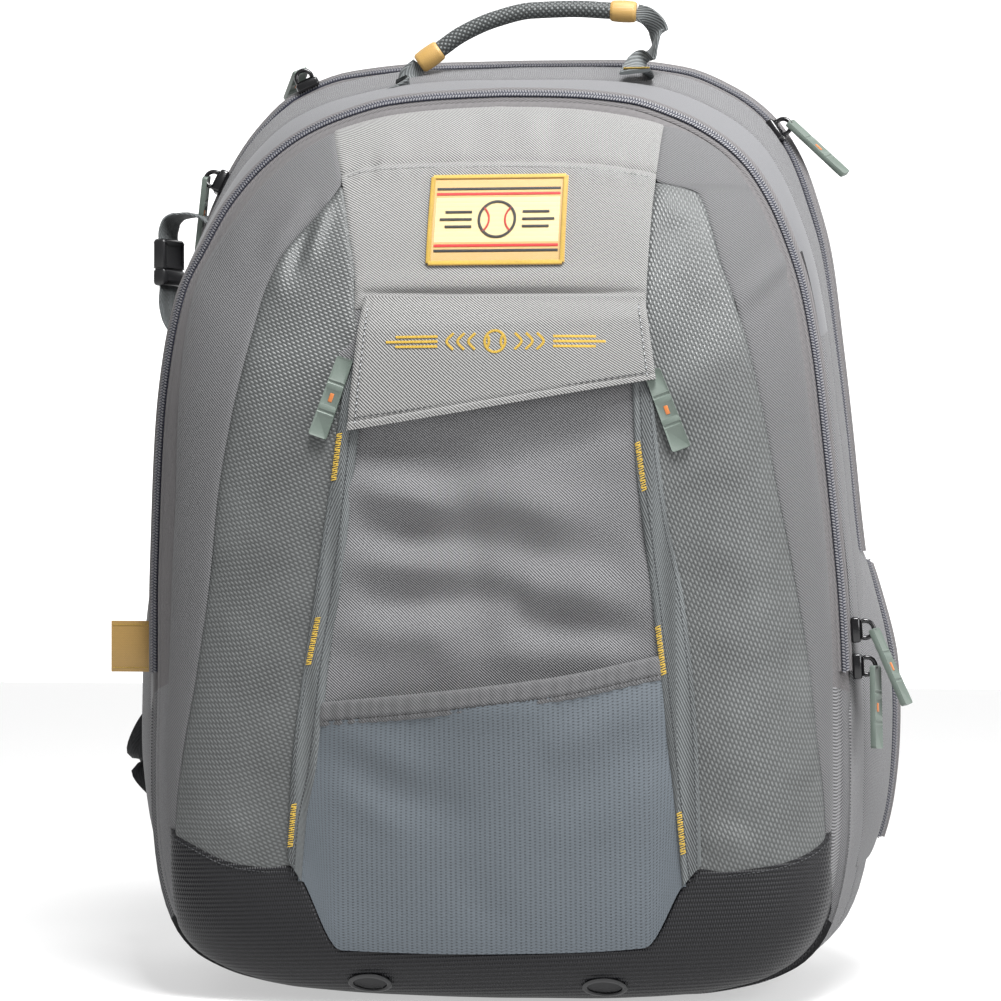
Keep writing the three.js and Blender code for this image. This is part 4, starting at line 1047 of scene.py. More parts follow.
def gusset_cloth(bag, finish):
    """The band round the bag between the two zips: smooth in front, twill behind, boot cloth below, and
    near-black as painted shade in the groove behind the front zip on the right
    """
    depths = np.concatenate([np.linspace(bag.zip + 0.5, bag.zip + 29, 14),
                             np.linspace(bag.zip + 30, -1.5, 16)])
    points = np.array([bag.loop(d) for d in depths])
    below = ease((FRONT_ZIP_START - 4 - points[0][:, 2:]) / 8)
    points[0] = mix(points[0], bag.loop(bag.zip - 3.2), below)
    seam = np.exp(-np.abs(depths - BAND_SEAM) / 1.2)[:, None]
    puff = 1.4 * np.sin(np.clip((depths - bag.zip) / (BAND_SEAM - bag.zip), 0, 1) * math.pi)[:, None]
    level = points[..., 2]
    puff = puff + 1.2 * np.sin(np.clip((depths - BAND_SEAM) / -BAND_SEAM, 0, 1) * math.pi)[:, None]
    uneven = 0.8 * ripple(points[..., 0] + points[..., 1], level, 48, 21) * bag.wrinkle
    low = ease((level - 60) / 30)
    beside = np.exp(-((depths + 3) / 3.5) ** 2)[:, None] * ease((level - 190) / 60)
    lift = (puff + uneven) * low - 1.4 * seam - 3.2 * beside
    behind = np.exp(-((depths - bag.zip - 4.5) / 2.2) ** 2)[:, None]
    lift = lift - 3.2 * behind * (points[..., 0] > 0) \
        * ease((0.86 * bag.top - level) / 40) * ease((level - 150) / 30)

    def paint(middles):
        right = middles[:, 0] > 0
        low = np.where(right, bag.top * 0.72, bag.top * 0.3)
        depth = middles[:, 1] - 42 * bag.lean_at(middles[:, 2])
        band = (depth < BAND_SEAM) & (middles[:, 2] > low)
        # A near-black strip behind the front zip on the right: painted shade of the groove there
        painted_groove_shade = right & (depth < bag.zip + 6.5) & (middles[:, 2] < 0.82 * bag.top) & (middles[:, 2] > 165)
        return np.where(middles[:, 2] < 14, 2, np.where(painted_groove_shade, 3, np.where(band, 1, 0)))
    piece = sheet_piece("gusset_cloth", points, bag.skin, around=True, lift=lift, paint=paint)
    cloths = [finish[name] for name in ("twill", "band", "boot", "lining")]
    dressed(piece, cloths, "twill", "gusset_ring")


def rear_cloth(bag, finish):
    """The bag behind the main zip, down to a flat back"""
    depths = np.array([9, 12, 18, 28, 40, 52, 66, 80, 94, 104, 111, 116, BACK_EDGE])
    rings = [bag.loop(d) for d in depths]
    below = ease((MAIN_ZIP_START + 4 - rings[0][:, 2:]) / 8)
    rings[0] = mix(rings[0], bag.loop(-1.8), below)
    rings.insert(1, mix(bag.loop(10.5), bag.loop(5), below))
    last = rings[-1]
    middle = np.array([0, 0, last[:, 2].mean()])
    for reach, depth in ((0.985, 120.5), (0.96, 122.8), (0.93, 124), (0.75, 124), (0.5, 124), (0.25, 124)):
        ring = middle + (last - middle) * reach
        ring[:, 1] = (last[:, 1] - BACK_EDGE) * (1 - ease((1 - reach) / 0.07)) + depth
        rings.append(ring)
    points = np.array(rings)
    lift = 0.9 * ripple(points[..., 0] + points[..., 1], points[..., 2], 55, 31) * bag.wrinkle
    lift = lift * (points[..., 1] < 110) * ease((points[..., 2] - 30) / 30)
    piece = sheet_piece("rear_cloth", points, bag.skin, around=True, lift=lift, pole=True,
                        paint=lambda m: np.where(m[:, 2] < 14, 1, 0))
    dressed(piece, [finish["twill"], finish["boot"]], "twill", "rear_shell")


def zip_parts(finish, path, facing, tape_width):
    """A zip's tape, dark core and two slanted rows of teeth"""
    sizes = bpy.context.scene.bag_sizes
    width, pitch = sizes.chain_width / MM, sizes.tooth_pitch / MM
    count = int(chords(path)[-1] / pitch)
    _, _, face = path_frames(path, facing)
    smooth_path = resampled(path, max(20, count // 4))
    smooth_face = resampled(np.broadcast_to(face, path.shape), len(smooth_path))
    tape = tube_mesh(smooth_path - smooth_face * 0.9, smooth_face, rounded(tape_width, 1.0, 12, 5))
    core = tube_mesh(smooth_path - smooth_face * 0.1, smooth_face, rounded(width * 0.96, 1.7, 10, 3))
    even = resampled(path, count)
    along, side, face = path_frames(even, resampled(face, count))
    parts = [(tape, finish["tape"]), (core, finish["navy"])]
    template = thread(width * 0.52, 0.5)
    for sign in (1, -1):
        across = unit(side * sign + along * 0.35)
        origins = even + side * sign * width * 0.26 + face * 0.75 + along * (pitch / 4) * sign
        parts.append((scattered(template, origins, across, np.cross(face, across), face), finish["tooth"]))
    return parts


def front_zip(bag, finish):
    """The front zip, set back under the welt"""
    path, outward = bag.arch(bag.zip, FRONT_ZIP_START, 240, rearness=0)
    centre = np.array([0, 0, bag.centre])
    flat = path.copy()
    flat[:, 1] = 0
    flat = centre + (flat - centre) * 0.989
    path = np.column_stack([flat[:, 0], bag.zip_plane(flat[:, 2]) - 6.2, flat[:, 2]])
    facing = unit(outward * 0.6 + np.array([0, -1, 0]))
    finished(parts_piece("front_zip_chain", zip_parts(finish, path, facing, 9.5)), "zip_cloth", "front_zip")


def main_zip(bag, finish):
    """The main zip over the top of the bag"""
    path, outward = bag.arch(MAIN_ZIP_DEPTH, MAIN_ZIP_START, 240)
    facing = unit(outward + np.array([0, -0.75, 0]))
    path = path + outward * 0.6
    finished(parts_piece("main_zip_chain", zip_parts(finish, path, facing, 15.5)), "zip_cloth", "main_zip")


def strips(bag, finish):
    """Slanting webbing strips beside the centre panel"""
    for side, sign in SIDES:
        outer, inner = by_height(STRIP_OUTER, side), by_height(STRIP_INNER, side)
        high = 0.69 if sign < 0 else 0.68
        u, v = panel_grid(13, 150, 0.5)
        across = u if sign > 0 else 1 - u
        z = mix(mix(0.135, 0.158, across), high, v)
        x = sign * mix(inner(z), outer(z), across)
        edge = np.minimum(u, 1 - u) * bag.webbing
        lift = bag.skin + 1.7 - 1.1 * np.exp(-edge / 0.7) \
            + 0.25 * np.exp(-((across * bag.webbing - 3) / 1.2) ** 2)
        points = bag.on_front(x * bag.half, z * bag.top, 0)
        piece = sheet_piece(f"strip_{side}", points, 1.5, outward=(0, -1, 0), lift=lift)
        dressed(piece, finish["webbing"], "webbing", f"webbing_strip_{side}")


FLAP_CORNERS = [(-0.379, 0.614), (0.474, 0.666), (0.44, 0.752), (-0.343, 0.757)]


def flap_place(u, v):
    """Shares of the front's size at a place on the flap"""
    low_left, low_right, high_right, high_left = (np.array(c) for c in FLAP_CORNERS)
    u, v = np.asarray(u, float)[..., None], np.asarray(v, float)[..., None]
    return mix(mix(low_left, low_right, u), mix(high_left, high_right, u), v)


def flap_lift(bag, u, v):
    """How far the flap stands off the front in mm: least along its sewn top"""
    free = ease((1 - v) * bag.top * 0.115 / 16)
    return bag.skin * 2 + 0.3 + 4.6 * free + 1.2 * np.sin(u * math.pi) * free


def flap_cloth(bag, finish):
    """The sewn flap with its hem"""
    u, v = panel_grid(90, 60, 0.3)
    shares = flap_place(u, v)
    xs, zs = shares[..., 0] * bag.half, shares[..., 1] * bag.top
    lift = flap_lift(bag, u, v)
    hem = np.exp(-((v * 48 - 3.2) / 0.8) ** 2) * -0.5 + 0.5 * (v * 48 < 3)
    side = np.minimum(u, 1 - u) * 150
    lift = lift + hem - 0.45 * np.exp(-((side - 3.6) / 0.7) ** 2) - 0.8 * np.exp(-side / 0.6)
    lift = lift + folds(xs, zs, FLAP_FOLDS) * bag.wrinkle
    points = bag.on_front(xs, zs, 0)
    piece = sheet_piece("flap_cloth", points, 2.0, outward=(0, -1, 0), lift=lift)
    # The flap's lighter twill is painted light
    dressed(piece, finish["flap"], "twill", "flap")


BAND_TOP = [(-0.443, 0.326), (-0.1, 0.34), (0.2, 0.355), (0.477, 0.377)]
BAND_HEIGHT = 11.5
POCKET_BASE = [(-0.505, 0.135), (-0.401, 0.062), (-0.112, 0.06), (0.127, 0.062), (0.442, 0.07),
               (0.545, 0.135)]


def pocket_gape(u, v):
    """How far the stretch pocket stands off the front: most at the middle of its top"""
    return 13 * np.sin(np.clip(u, 0, 1) * math.pi) ** 0.8 * np.clip(v, 0, 1) ** 1.3


def pocket_cloth(bag, finish):
    """The stretch pocket"""
    left, right = by_height(STRIP_INNER, "left"), by_height(STRIP_INNER, "right")
    base, band = smooth_table(POCKET_BASE), smooth_table(BAND_TOP)
    u, v = panel_grid(110, 110, 0.15)
    x = mix(-0.5, 0.55, u)
    for _ in range(3):
        z = mix(base(x), band(x) - 0.02, v)
        x = mix(-left(z) - 0.01, right(z) + 0.01, u)
    xs, zs = x * bag.half, z * bag.top
    lift = pocket_gape(u, v) + (folds(xs, zs, POCKET_FOLDS) * np.sin(u * math.pi) ** 0.3
                                + ripple(xs, zs, 42, 41)) * bag.wrinkle * ease(v * 5)
    points = bag.on_front(xs, zs, 0)
    piece = sheet_piece("pocket_cloth", points, bag.skin, outward=(0, -1, 0), lift=bag.skin + 0.4 + lift)
    dressed(piece, finish["ripstop"], "ripstop", "stretch_pocket")


def pocket_band(bag, finish):
    """The pocket's rolled binding and its stitches"""
    left, right = by_height(STRIP_INNER, "left"), by_height(STRIP_INNER, "right")
    band = smooth_table(BAND_TOP)
    u, v = panel_grid(110, 16, 0.3)
    x = mix(-0.45, 0.48, u)
    for _ in range(3):
        z = band(x) - (1 - v) * (BAND_HEIGHT + 1) / bag.top
        x = mix(-left(z) - 0.01, right(z) + 0.01, u)
    xs, zs = x * bag.half, z * bag.top
    height = v * BAND_HEIGHT
    roll = 1.6 * np.sqrt(np.clip(1 - np.abs(2 * v - 1) ** 4, 0, 1))
    gather = 0.35 * np.sin(xs * 0.9 + 2 * np.sin(xs * 0.11)) * bag.wrinkle
    lift = bag.skin + pocket_gape(u, 1.0) + roll + gather - 0.6 * np.exp(-((height - 2.5) / 0.8) ** 2)
    points = bag.on_front(xs, zs, 0)
    piece = sheet_piece("pocket_band", points, bag.skin + 0.4, outward=(0, -1, 0), lift=lift)
    # The band borrows the left side twill, which is darkened as painted shade
    dressed(piece, finish["side_left"], "light_twill", "pocket_binding")
    seam = int(np.argmin(np.abs(height[:, 0] - 2.5)))
    path = bag.on_front(xs[seam, 2:-2], zs[seam, 2:-2], lift[seam, 2:-2] + bag.skin * 0.5)
    stitches = stitch_row(path, (0, -1, 0), 2.1, 1.2, 0.28)
    finished(parts_piece("band_stitches", [(stitches, finish["ink"])]), "webbing")


def base_cloth(bag, finish):
    """The plate under the bag"""
    low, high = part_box("base_panel")
    deselect()
    low.y += 18 * MM
    high.y -= 14 * MM
    low.x += 24 * MM
    high.x -= 24 * MM
    bpy.ops.mesh.primitive_cube_add(size=1, location=(low + high) / 2)
    piece = bpy.context.object
    piece.name = "base_cloth"
    bpy.ops.transform.resize(value=high - low)
    edit_all()
    bpy.ops.mesh.bevel(offset=MM, segments=3)
    bpy.ops.uv.cube_project(cube_size=1.0, scale_to_bounds=False)
    object_mode()
    bpy.ops.object.transform_apply(location=True, rotation=True, scale=True)
    smooth_by_angle(piece)
    dressed(piece, finish["boot"], "boot_cloth", "base_panel")


# ---- Side pockets

POCKET_LOW, POCKET_HIGH = 66, 231
POCKET_FRONT, POCKET_REAR = -40, 84
POCKET_BULGE = 10
POCKET_ZIP = 0.48


def pocket_place(bag, sign, u, v, lift=0.0):
    """A point on a side pocket: u from front to rear, v from bottom to top"""
    z = mix(POCKET_LOW, POCKET_HIGH, v)
    front = mix(POCKET_FRONT, 5, np.clip(v, 0, 1) ** 6)
    rear = POCKET_REAR - 20 * np.clip(v, 0, 1) ** 3
    y = mix(front, rear, u)
    swell = POCKET_BULGE * np.sin(np.clip(u, 0, 1) * math.pi) ** 0.7 \
        * np.sin(np.clip(v, 0, 1) * math.pi) ** 0.6
    x = np.vectorize(lambda d, h: bag.flank(d, h, sign))(y, z)
    return np.stack([sign * (x + 0.6 + swell + lift), y, z + 0 * x], axis=-1)


def side_pockets(bag, finish):
    """Side pockets with their upright zips"""
    for side, sign in SIDES:
        u, v = panel_grid(48, 60, 0.5)
        groove = -1.6 * np.exp(-((u - POCKET_ZIP) / 0.035) ** 2) * (v > 0.06) * (v < 0.95)
        points = pocket_place(bag, sign, u, v, groove)
        points[..., 0] += sign * 0.6 * ripple(points[..., 1], points[..., 2], 40, 50 + sign) * bag.wrinkle
        piece = sheet_piece(f"pocket_cloth_{side}", points, bag.skin, outward=(sign, 0, 0))
        dressed(piece, finish["twill"], "twill", f"side_pocket_{side}")
        line = np.linspace(0.06, 0.95, 60)
        path = pocket_place(bag, sign, np.full(60, POCKET_ZIP), line, 0.6)
        facing = unit(np.array([sign, -0.75, 0]))
        parts = zip_parts(finish, path, facing, 13)
        finished(parts_piece(f"pocket_zip_{side}", parts), "zip_cloth", f"side_zip_{side}")


# ---- Hardware, modelled in millimetres with Blender's own tools and then put in place

def block(size, bevel=0.0, segments=2):
    """A bevelled block round the origin"""
    deselect()
    bpy.ops.mesh.primitive_cube_add(size=1, location=(0, 0, 0))
    piece = bpy.context.object
    bpy.ops.transform.resize(value=size)
    bpy.ops.object.transform_apply(location=True, rotation=True, scale=True)
    if bevel:
        edit_all()
        bpy.ops.mesh.bevel(offset=bevel, segments=segments)
        object_mode()
    return piece


def choose(piece, kind, test):
    """Selects vertices, edges or faces whose place and normal pass a test, in edit mode"""
    make_active(piece)
    bpy.ops.object.mode_set(mode="EDIT")
    bpy.ops.mesh.select_mode(type=kind)
    bpy.ops.mesh.select_all(action="DESELECT")
    mesh = bmesh.from_edit_mesh(piece.data)
    for element in {"VERT": mesh.verts, "EDGE": mesh.edges, "FACE": mesh.faces}[kind]:
        if kind == "FACE":
            passed = test(element.calc_center_median(), element.normal)
        elif kind == "EDGE":
            a, b = (v.co for v in element.verts)
            passed = test((a + b) / 2, b - a)
        else:
            passed = test(element.co, element.normal)
        if passed:
            element.select_set(True)
    mesh.select_flush_mode()
    bmesh.update_edit_mesh(piece.data)


def softened(piece, width, segments=2, degrees=40):
    """Rounds a piece's sharp edges"""
    make_active(piece)
    modifier = piece.modifiers.new("Bevel", "BEVEL")
    modifier.width = width
    modifier.segments = segments
    modifier.limit_method = "ANGLE"
    modifier.angle_limit = math.radians(degrees)
    bpy.ops.object.modifier_apply(modifier="Bevel")


def joined(pieces):
    """One piece from several"""
    deselect()
    for piece in pieces:
        piece.select_set(True)
    bpy.context.view_layer.objects.active = pieces[0]
    bpy.ops.object.join()
    return bpy.context.object


def settle(piece, name, origin, along, outward):
    """Puts a piece modelled in mm in its place: its z along, its y outward"""
    z = unit(along)
    y = unit(np.asarray(outward, float) - z * np.dot(outward, z))
    basis = Matrix(np.column_stack([np.cross(y, z), y, z]).tolist()).to_4x4()
    move = Matrix.Translation(Vector(np.asarray(origin, float) * MM) + SHIFT)
    piece.data.transform(move @ Matrix.Scale(MM, 4) @ basis)
    piece.name = name
    smooth_by_angle(piece)
    return piece


PULL_WIDTH, PULL_THICKNESS = 8.4, 3.0
PULL_BARS = (0.3, 0.345, 0.39, 0.62, 0.665, 0.71)
PULL_WIDENING = 1.14


def pull_tab(finish):
    """A moulded pull with a raised rim and three sunk fields, hanging along z"""
    long = bpy.context.scene.bag_sizes.pull_length / MM
    tab = block((PULL_WIDTH, PULL_THICKNESS, long))
    tab.data.transform(Matrix.Translation((0, 0, long / 2)))
    choose(tab, "VERT", lambda at, _: at.z > long / 2)
    bpy.ops.transform.resize(value=(PULL_WIDENING, 1, 1), center_override=(0, 0, long))
    choose(tab, "EDGE", lambda at, way: abs(way.y) > 0.9 * way.length)
    bpy.ops.mesh.bevel(offset=1.3, segments=3)
    for share in PULL_BARS:
        bpy.ops.mesh.select_all(action="SELECT")
        bpy.ops.mesh.bisect(plane_co=(0, 0, long * share), plane_no=(0, 0, 1))
    bars = [0, *PULL_BARS, 1]
    fields = [(bars[k], bars[k + 1]) for k in (0, 3, 6)] + [(bars[k], bars[k + 1]) for k in (1, 5)]
    for low, high in fields:
        choose(tab, "FACE", lambda at, n: abs(n.y) > 0.9 and low * long < at.z < high * long)
        bpy.ops.mesh.inset(thickness=0.9 if high - low > 0.1 else 0.5, depth=-0.6)
    object_mode()
    softened(tab, 0.14, 2)
    tab.data.materials.append(finish["sage"])
    dot = block((2.2, PULL_THICKNESS - 0.5, 4.6), 0.4)
    dot.data.transform(Matrix.Translation((0, 0, long * 0.505)))
    dot.data.materials.append(finish["copper"])
    return joined([tab, dot])


def slider_body(finish):
    """A zip slider with its bail: z along the chain, y outward"""
    body = block((9, 5, 13), 1.3, 3)
    choose(body, "FACE", lambda at, n: n.y > 0.9)
    bpy.ops.mesh.inset(thickness=1.6)
    bpy.ops.mesh.extrude_region_move(TRANSFORM_OT_translate={"value": (0, 0.9, 0)})
    object_mode()
    softened(body, 0.3)
    deselect()
    bpy.ops.mesh.primitive_torus_add(major_radius=4.4, minor_radius=1.2, major_segments=36, minor_segments=12,
                                     rotation=(0, math.radians(90), 0), location=(0, 4.8, 0))
    ring = bpy.context.object
    bpy.ops.object.transform_apply(location=True, rotation=True, scale=True)
    slider = joined([body, ring])
    slider.data.materials.clear()
    slider.data.materials.append(finish["black_metal"])
    return slider


# Zip sliders: name, zip, side, height of the slider in mm, its shift from the chain's middle in mm,
# the tab's direction and its face
SLIDERS = [
    ("main_right", "main", 1, 453, (-5, -3, -1), (0.72, -0.1, -0.69), (0.66, -0.42, 0.68)),
    ("main_left", "main", -1, 482, (0, 0, -1), (-0.3, 0.93, -0.22), (-0.4, 0, 0.9)),
    ("side_left", "main", -1, 429, (0, 0, 0), (-0.16, 0.26, -0.95), (-1, 0, 0.1)),
    ("front_upper", "front", 1, 190, (0, 0, 0), (0.4, -0.14, -0.9), (1, -0.42, 0.4)),
    ("front_lower", "front", 1, 171, (0, 0, 0), (0.02, -0.1, -1), (1, -0.42, 0)),
]


def zip_hardware(bag, finish):
    """Sliders with their bails and pulls"""
    for name, which, sign, height, shift, hang, face in SLIDERS:
        depth, start = (MAIN_ZIP_DEPTH, 150) if which == "main" else (bag.zip, 120)
        path, outward = bag.arch(depth, start, 400, rearness=None if which == "main" else 0)
        k = min(range(len(path)), key=lambda i: abs(path[i][2] - height) + 1e3 * (path[i][0] * sign < 0))
        along = unit(path[k - 1] - path[k + 1]) * sign
        path[k] += shift
        seat = path[k] + outward[k] * 4.15
        slider = settle(slider_body(finish), f"slider_{name}", seat, along, outward[k])
        finished(slider, "black_metal", f"zip_slider_{name}")
        hook = path[k] + outward[k] * 13.2
        tab = settle(pull_tab(finish), f"pull_{name}", hook, hang, face)
        finished(tab, "sage_rubber", f"zip_pull_{name}")


# Pulls beside the flap: shares of the front at the top and low end, and their height over it in mm
POCKET_PULLS = {"left": ((-0.386, 0.69), (-0.478, 0.592), 4.6),
                "right": ((0.462, 0.676), (0.552, 0.586), 3.6)}


def pocket_pulls(bag, finish):
    """Two moulded pulls lying on the front"""
    for side, _ in SIDES:
        top, low, lift = POCKET_PULLS[side]
        start, end = bag.share_points([top, low], lift)
        piece = settle(pull_tab(finish), f"pocket_tab_{side}", start, end - start, (0, -1, 0))
        finished(piece, "sage_rubber", f"pocket_pull_{side}")


# Grab handle: shares of its span and rise
HANDLE = [(-.5, 0), (-.36, .42), (-.17, .78), (.04, .98), (.26, 1), (.5, .93)]
HANDLE_SPAN, HANDLE_RISE = 96, 21.5
HANDLE_PLACE = (4.8, 24.8, 500)
BACKWARDS = np.array([0, 1.0, 0])


def handle(bag, finish):
    """The grab handle: braided grip, satin ferrules and the webbing at both ends"""
    sizes = bpy.context.scene.bag_sizes
    grip = sizes.grip / MM
    x, y, z = HANDLE_PLACE
    path = resampled([(x + a * HANDLE_SPAN, y, z + b * HANDLE_RISE) for a, b in HANDLE], 60)
    mesh = tube_mesh(path, BACKWARDS, rounded(grip, grip, 24, 2))
    piece = parts_piece("grip_cord", [(mesh, finish["grip"])])
    finished(piece, "grip_braid", "handle_grip")
    ends = {"left": (path[0], path[0] - path[1]), "right": (path[-1], path[-1] - path[-2])}
    for side, (end, way) in ends.items():
        way = unit(way)
        cuts = np.linspace(-1.5, 12.5, 15)
        swell = 1 + 0.08 * np.sin(np.linspace(0, math.pi, 15)) - 0.12 * (np.abs(cuts - 5.5) > 6.8)
        ring = rounded(grip + 2, grip + 2, 24, 2)
        mesh = tube_mesh(end + way * cuts[:, None], BACKWARDS, ring[None] * swell[:, None, None])
        piece = parts_piece(f"ferrule_{side}", [(mesh, finish["satin"])])
        finished(piece, "gold_satin", f"handle_ferrule_{side}")
    left_end = path[0] + unit(path[0] - path[1]) * 12.4
    right_end = path[-1] + unit(path[-1] - path[-2]) * 12.4
    webs = {
        "left": ([left_end, left_end + (-5, -1, -7), (-58, 18, 479), (-66, 11, 474.5), (-79, 5, 471)],
                 [(0, 1, 0), (0, .9, .5), (.1, .5, 1), (.1, .1, 1), (.1, .05, 1)]),
        "right": ([right_end, right_end + (6, 0, -2.5), right_end + (12, 0, -11), (75, 21, 500),
                   (71, 20, 492), (68, 13, 487), (66, 4, 484)],
                  [(0, 1, 0), (.5, .7, .5), (.95, .3, 0), (.9, .3, 0), (.8, .4, .2), (.2, .4, 1),
                   (0, .3, 1)]),
    }
    for side, (points, faces) in webs.items():
        web = resampled(points, 60)
        share = chords(web) / chords(web)[-1]
        wide = mix(grip, bag.webbing * 0.92, ease(share * 2.2))[:, None, None]
        flat = rounded(1, 1, 14, 5)[None] * np.concatenate([wide, np.full_like(wide, 2.0)], axis=2)
        mesh = tube_mesh(web, resampled(unit(faces), 60), flat)
        rim = web[-6:] + unit(faces[-1]) * 1.3
        middle = rim[-1 if side == "left" else -4]
        tack = stitch_row(np.array([middle + (-7, 0, 0), middle + (7, 0, 0)]),
                          faces[-1], 0.7, 3.4, 0.42, 0.1, math.radians(78))
        piece = parts_piece(f"handle_web_{side}", [(mesh, finish["webbing"]), (tack, finish["gold"])])
        finished(piece, "webbing", f"handle_webbing_{side}")


# Bat retention on the left flank: out from the flank in mm and height as a share of the front's
RETENTION = {
    "upper": [(0.8, .8645), (8, .872), (15.6, .875), (22, .8735), (25.9, .8665), (25.6, .8508), (22, .835)],
    "lower": [(20, .803), (17.4, .7892), (16.2, .7735), (12.9, .7545), (6.7, .735)],
}
RETENTION_DEPTH = 35
STRAP_FACE = unit((0.35, 1, 0))


def retention(bag, finish):
    """The bat strap's two lengths and their side-release buckle"""
    for name, rows in RETENTION.items():
        path = [(-bag.flank(RETENTION_DEPTH, share * bag.top, -1) - out, RETENTION_DEPTH, share * bag.top)
                for out, share in rows]
        web = tube_mesh(resampled(path, 50), STRAP_FACE, rounded(WEBBING_THICKNESS, bag.webbing, 14, 5))
        piece = parts_piece(f"sleeve_strap_{name}", [(web, finish["webbing"])])
        finished(piece, "webbing", f"bat_strap_{name}")
    height = 0.819 * bag.top
    body = block((22, 8, 26), 2.2, 3)
    bpy.ops.object.mode_set(mode="EDIT")
    for level in (-4.5, -3.2):
        bpy.ops.mesh.select_all(action="SELECT")
        bpy.ops.mesh.bisect(plane_co=(0, 0, level), plane_no=(0, 0, 1))
    choose(body, "FACE", lambda at, n: -4.5 < at.z < -3.2 and abs(n.z) < 0.5)
    bpy.ops.mesh.inset(thickness=0.05, depth=-0.7)
    choose(body, "FACE", lambda at, n: abs(n.y) > 0.9 and at.z > -3)
    bpy.ops.mesh.inset(thickness=2.6, depth=-0.8)
    choose(body, "FACE", lambda at, n: abs(n.y) > 0.9 and at.z < -4.6)
    bpy.ops.mesh.inset(thickness=2.2, depth=0.5)
    object_mode()
    softened(body, 0.35)
    body.data.materials.append(finish["black_plastic"])
    place = (-bag.flank(RETENTION_DEPTH, height, -1) - 21, RETENTION_DEPTH, height)
    settle(body, "sleeve_buckle", place, (0, 0, 1), (-1, 0.35, 0))
    finished(body, "black_plastic", "bat_strap_buckle")


# Shoulder straps: shares of their spacing and the front's height, then share of their bow
STRAP_ROWS = [(.6, .9, .12), (.6, .82, .55), (.62, .7, 1), (.85, .56, 1), (1.25, .46, .7), (1.75, .38, .3)]
STRAP_SPACING, STRAP_SEAT, STRAP_BOW = 62, 139.15, 34
STRAP_WIDTH, STRAP_THICKNESS = 64, 13
ADJUSTER = (30, 5, 22)
ADJUSTER_GAP = 3
PAD_RISE = 10.05
# Lower webbing: shares of the rear's half width, of the front's height and of the way to the corner's depth
WEBBING_ROWS = {
    "left": [(1.085, .325, .25), (1.346, .28, .85), (1.395, .235, 1), (1.281, .19, 1), (1.175, .165, 1)],
    "right": [(.938, .32, .1), (1.118, .28, .62), (1.2, .24, 1), (1.166, .2, 1)],
}
REAR_HALF, CORNER_DEPTH = 155, 60


def back_system(bag, finish):
    """Back pad, shoulder straps, their adjusters and the webbing to the bag's lower corners"""
    outer = bag.rear + PAD_RISE
    loop = bag.loop(BACK_EDGE)[::2]
    middle = np.array([0, 0, bag.centre])
    rings = []
    for reach in (0.84, 0.835, 0.82, 0.79, 0.74, 0.68, 0.6, 0.5, 0.4, 0.3, 0.2, 0.1, 0.04):
        ring = middle + (loop - middle) * reach
        fall = 1 - np.sqrt(1 - max(0, (reach - 0.74) / 0.1) ** 2)
        ring[:, 1] = outer + (loop[:, 1] - BACK_EDGE) * reach - 6 * fall
        rings.append(ring)
    points = np.array(rings)
    channel = np.exp(-(points[..., 0] / 9) ** 2)
    for level in (150, 250, 350):
        channel = channel + np.exp(-((points[..., 2] - level) / 6) ** 2)
    inside = ease((0.8 - np.linalg.norm((points - middle)[..., ::2], axis=-1) / 210) * 4)
    piece = sheet_piece("back_cushion", points, 8, around=True, outward=(0, 1, 0), pole=True,
                        lift=-2.6 * np.clip(channel, 0, 1.1) * inside)
    dressed(piece, finish["mesh"], "mesh_padding", "back_pad")
    for side, sign in SIDES:
        rows = [(sign * STRAP_SPACING * x, STRAP_SEAT + 12.6 * bag.lean_at(z * bag.top) + STRAP_BOW * out,
                 z * bag.top) for x, z, out in STRAP_ROWS]
        path = resampled(rows, 70)
        share = np.linspace(0, 1, 70)
        wide = mix(1, 0.55, ease((share - 0.75) / 0.25))[:, None, None]
        full = np.sqrt(np.clip(1 - (2 * share - 1) ** 16, 0.02, 1))[:, None, None]
        sizes = np.concatenate([STRAP_THICKNESS * full, STRAP_WIDTH * wide], axis=2)
        pad = tube_mesh(path, (sign, 0, 0), rounded(1, 1, 28, 2.8)[None] * sizes)
        _, across, face = path_frames(path, (sign, 0, 0))
        outside = across * np.sign(across[:, 1:2] + 1e-9)
        parts = [(pad, finish["mesh"])]
        for k in (-1, 1):
            line = path + outside * (STRAP_THICKNESS * 0.44) + face * (k * STRAP_WIDTH * 0.36 * wide[:, :, 0])
            parts.append((stitch_row(line, outside, 4, 2.8, 0.4), finish["stitch"]))
        piece = parts_piece(f"shoulder_pad_{side}", parts)
        finished(piece, "mesh_padding", f"shoulder_strap_{side}")
        end = np.array(rows[-1])
        corners = [np.array((sign * REAR_HALF * x, mix(STRAP_SEAT, CORNER_DEPTH, f), z * bag.top))
                   for x, z, f in WEBBING_ROWS[side]]
        along = unit(corners[0] - end)
        start = end + along * (ADJUSTER[2] + ADJUSTER_GAP)
        web = tube_mesh(resampled([start, *corners], 80), unit((0.3 * sign, 0.2, 1)),
                        rounded(WEBBING_THICKNESS, bag.webbing, 14, 5))
        piece = parts_piece(f"lower_web_{side}", [(web, finish["black_cloth"])])
        finished(piece, "black_webbing", f"strap_webbing_{side}")
        low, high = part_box(f"strap_adjuster_{side}")
        centre = np.array(((low + high) / 2 - SHIFT) / MM)
        buckle = block(ADJUSTER)
        choose(buckle, "FACE", lambda at, n: abs(n.y) > 0.9)
        bpy.ops.mesh.subdivide(number_cuts=1)
        choose(buckle, "FACE", lambda at, n: abs(n.y) > 0.9)
        bpy.ops.mesh.inset(thickness=1.9, depth=-1.4, use_individual=True)
        object_mode()
        softened(buckle, 0.8, 3)
        buckle.data.materials.append(finish["black_plastic"])
        settle(buckle, f"adjuster_{side}", centre, along, BACKWARDS)
        finished(buckle, "black_plastic", f"strap_adjuster_{side}")


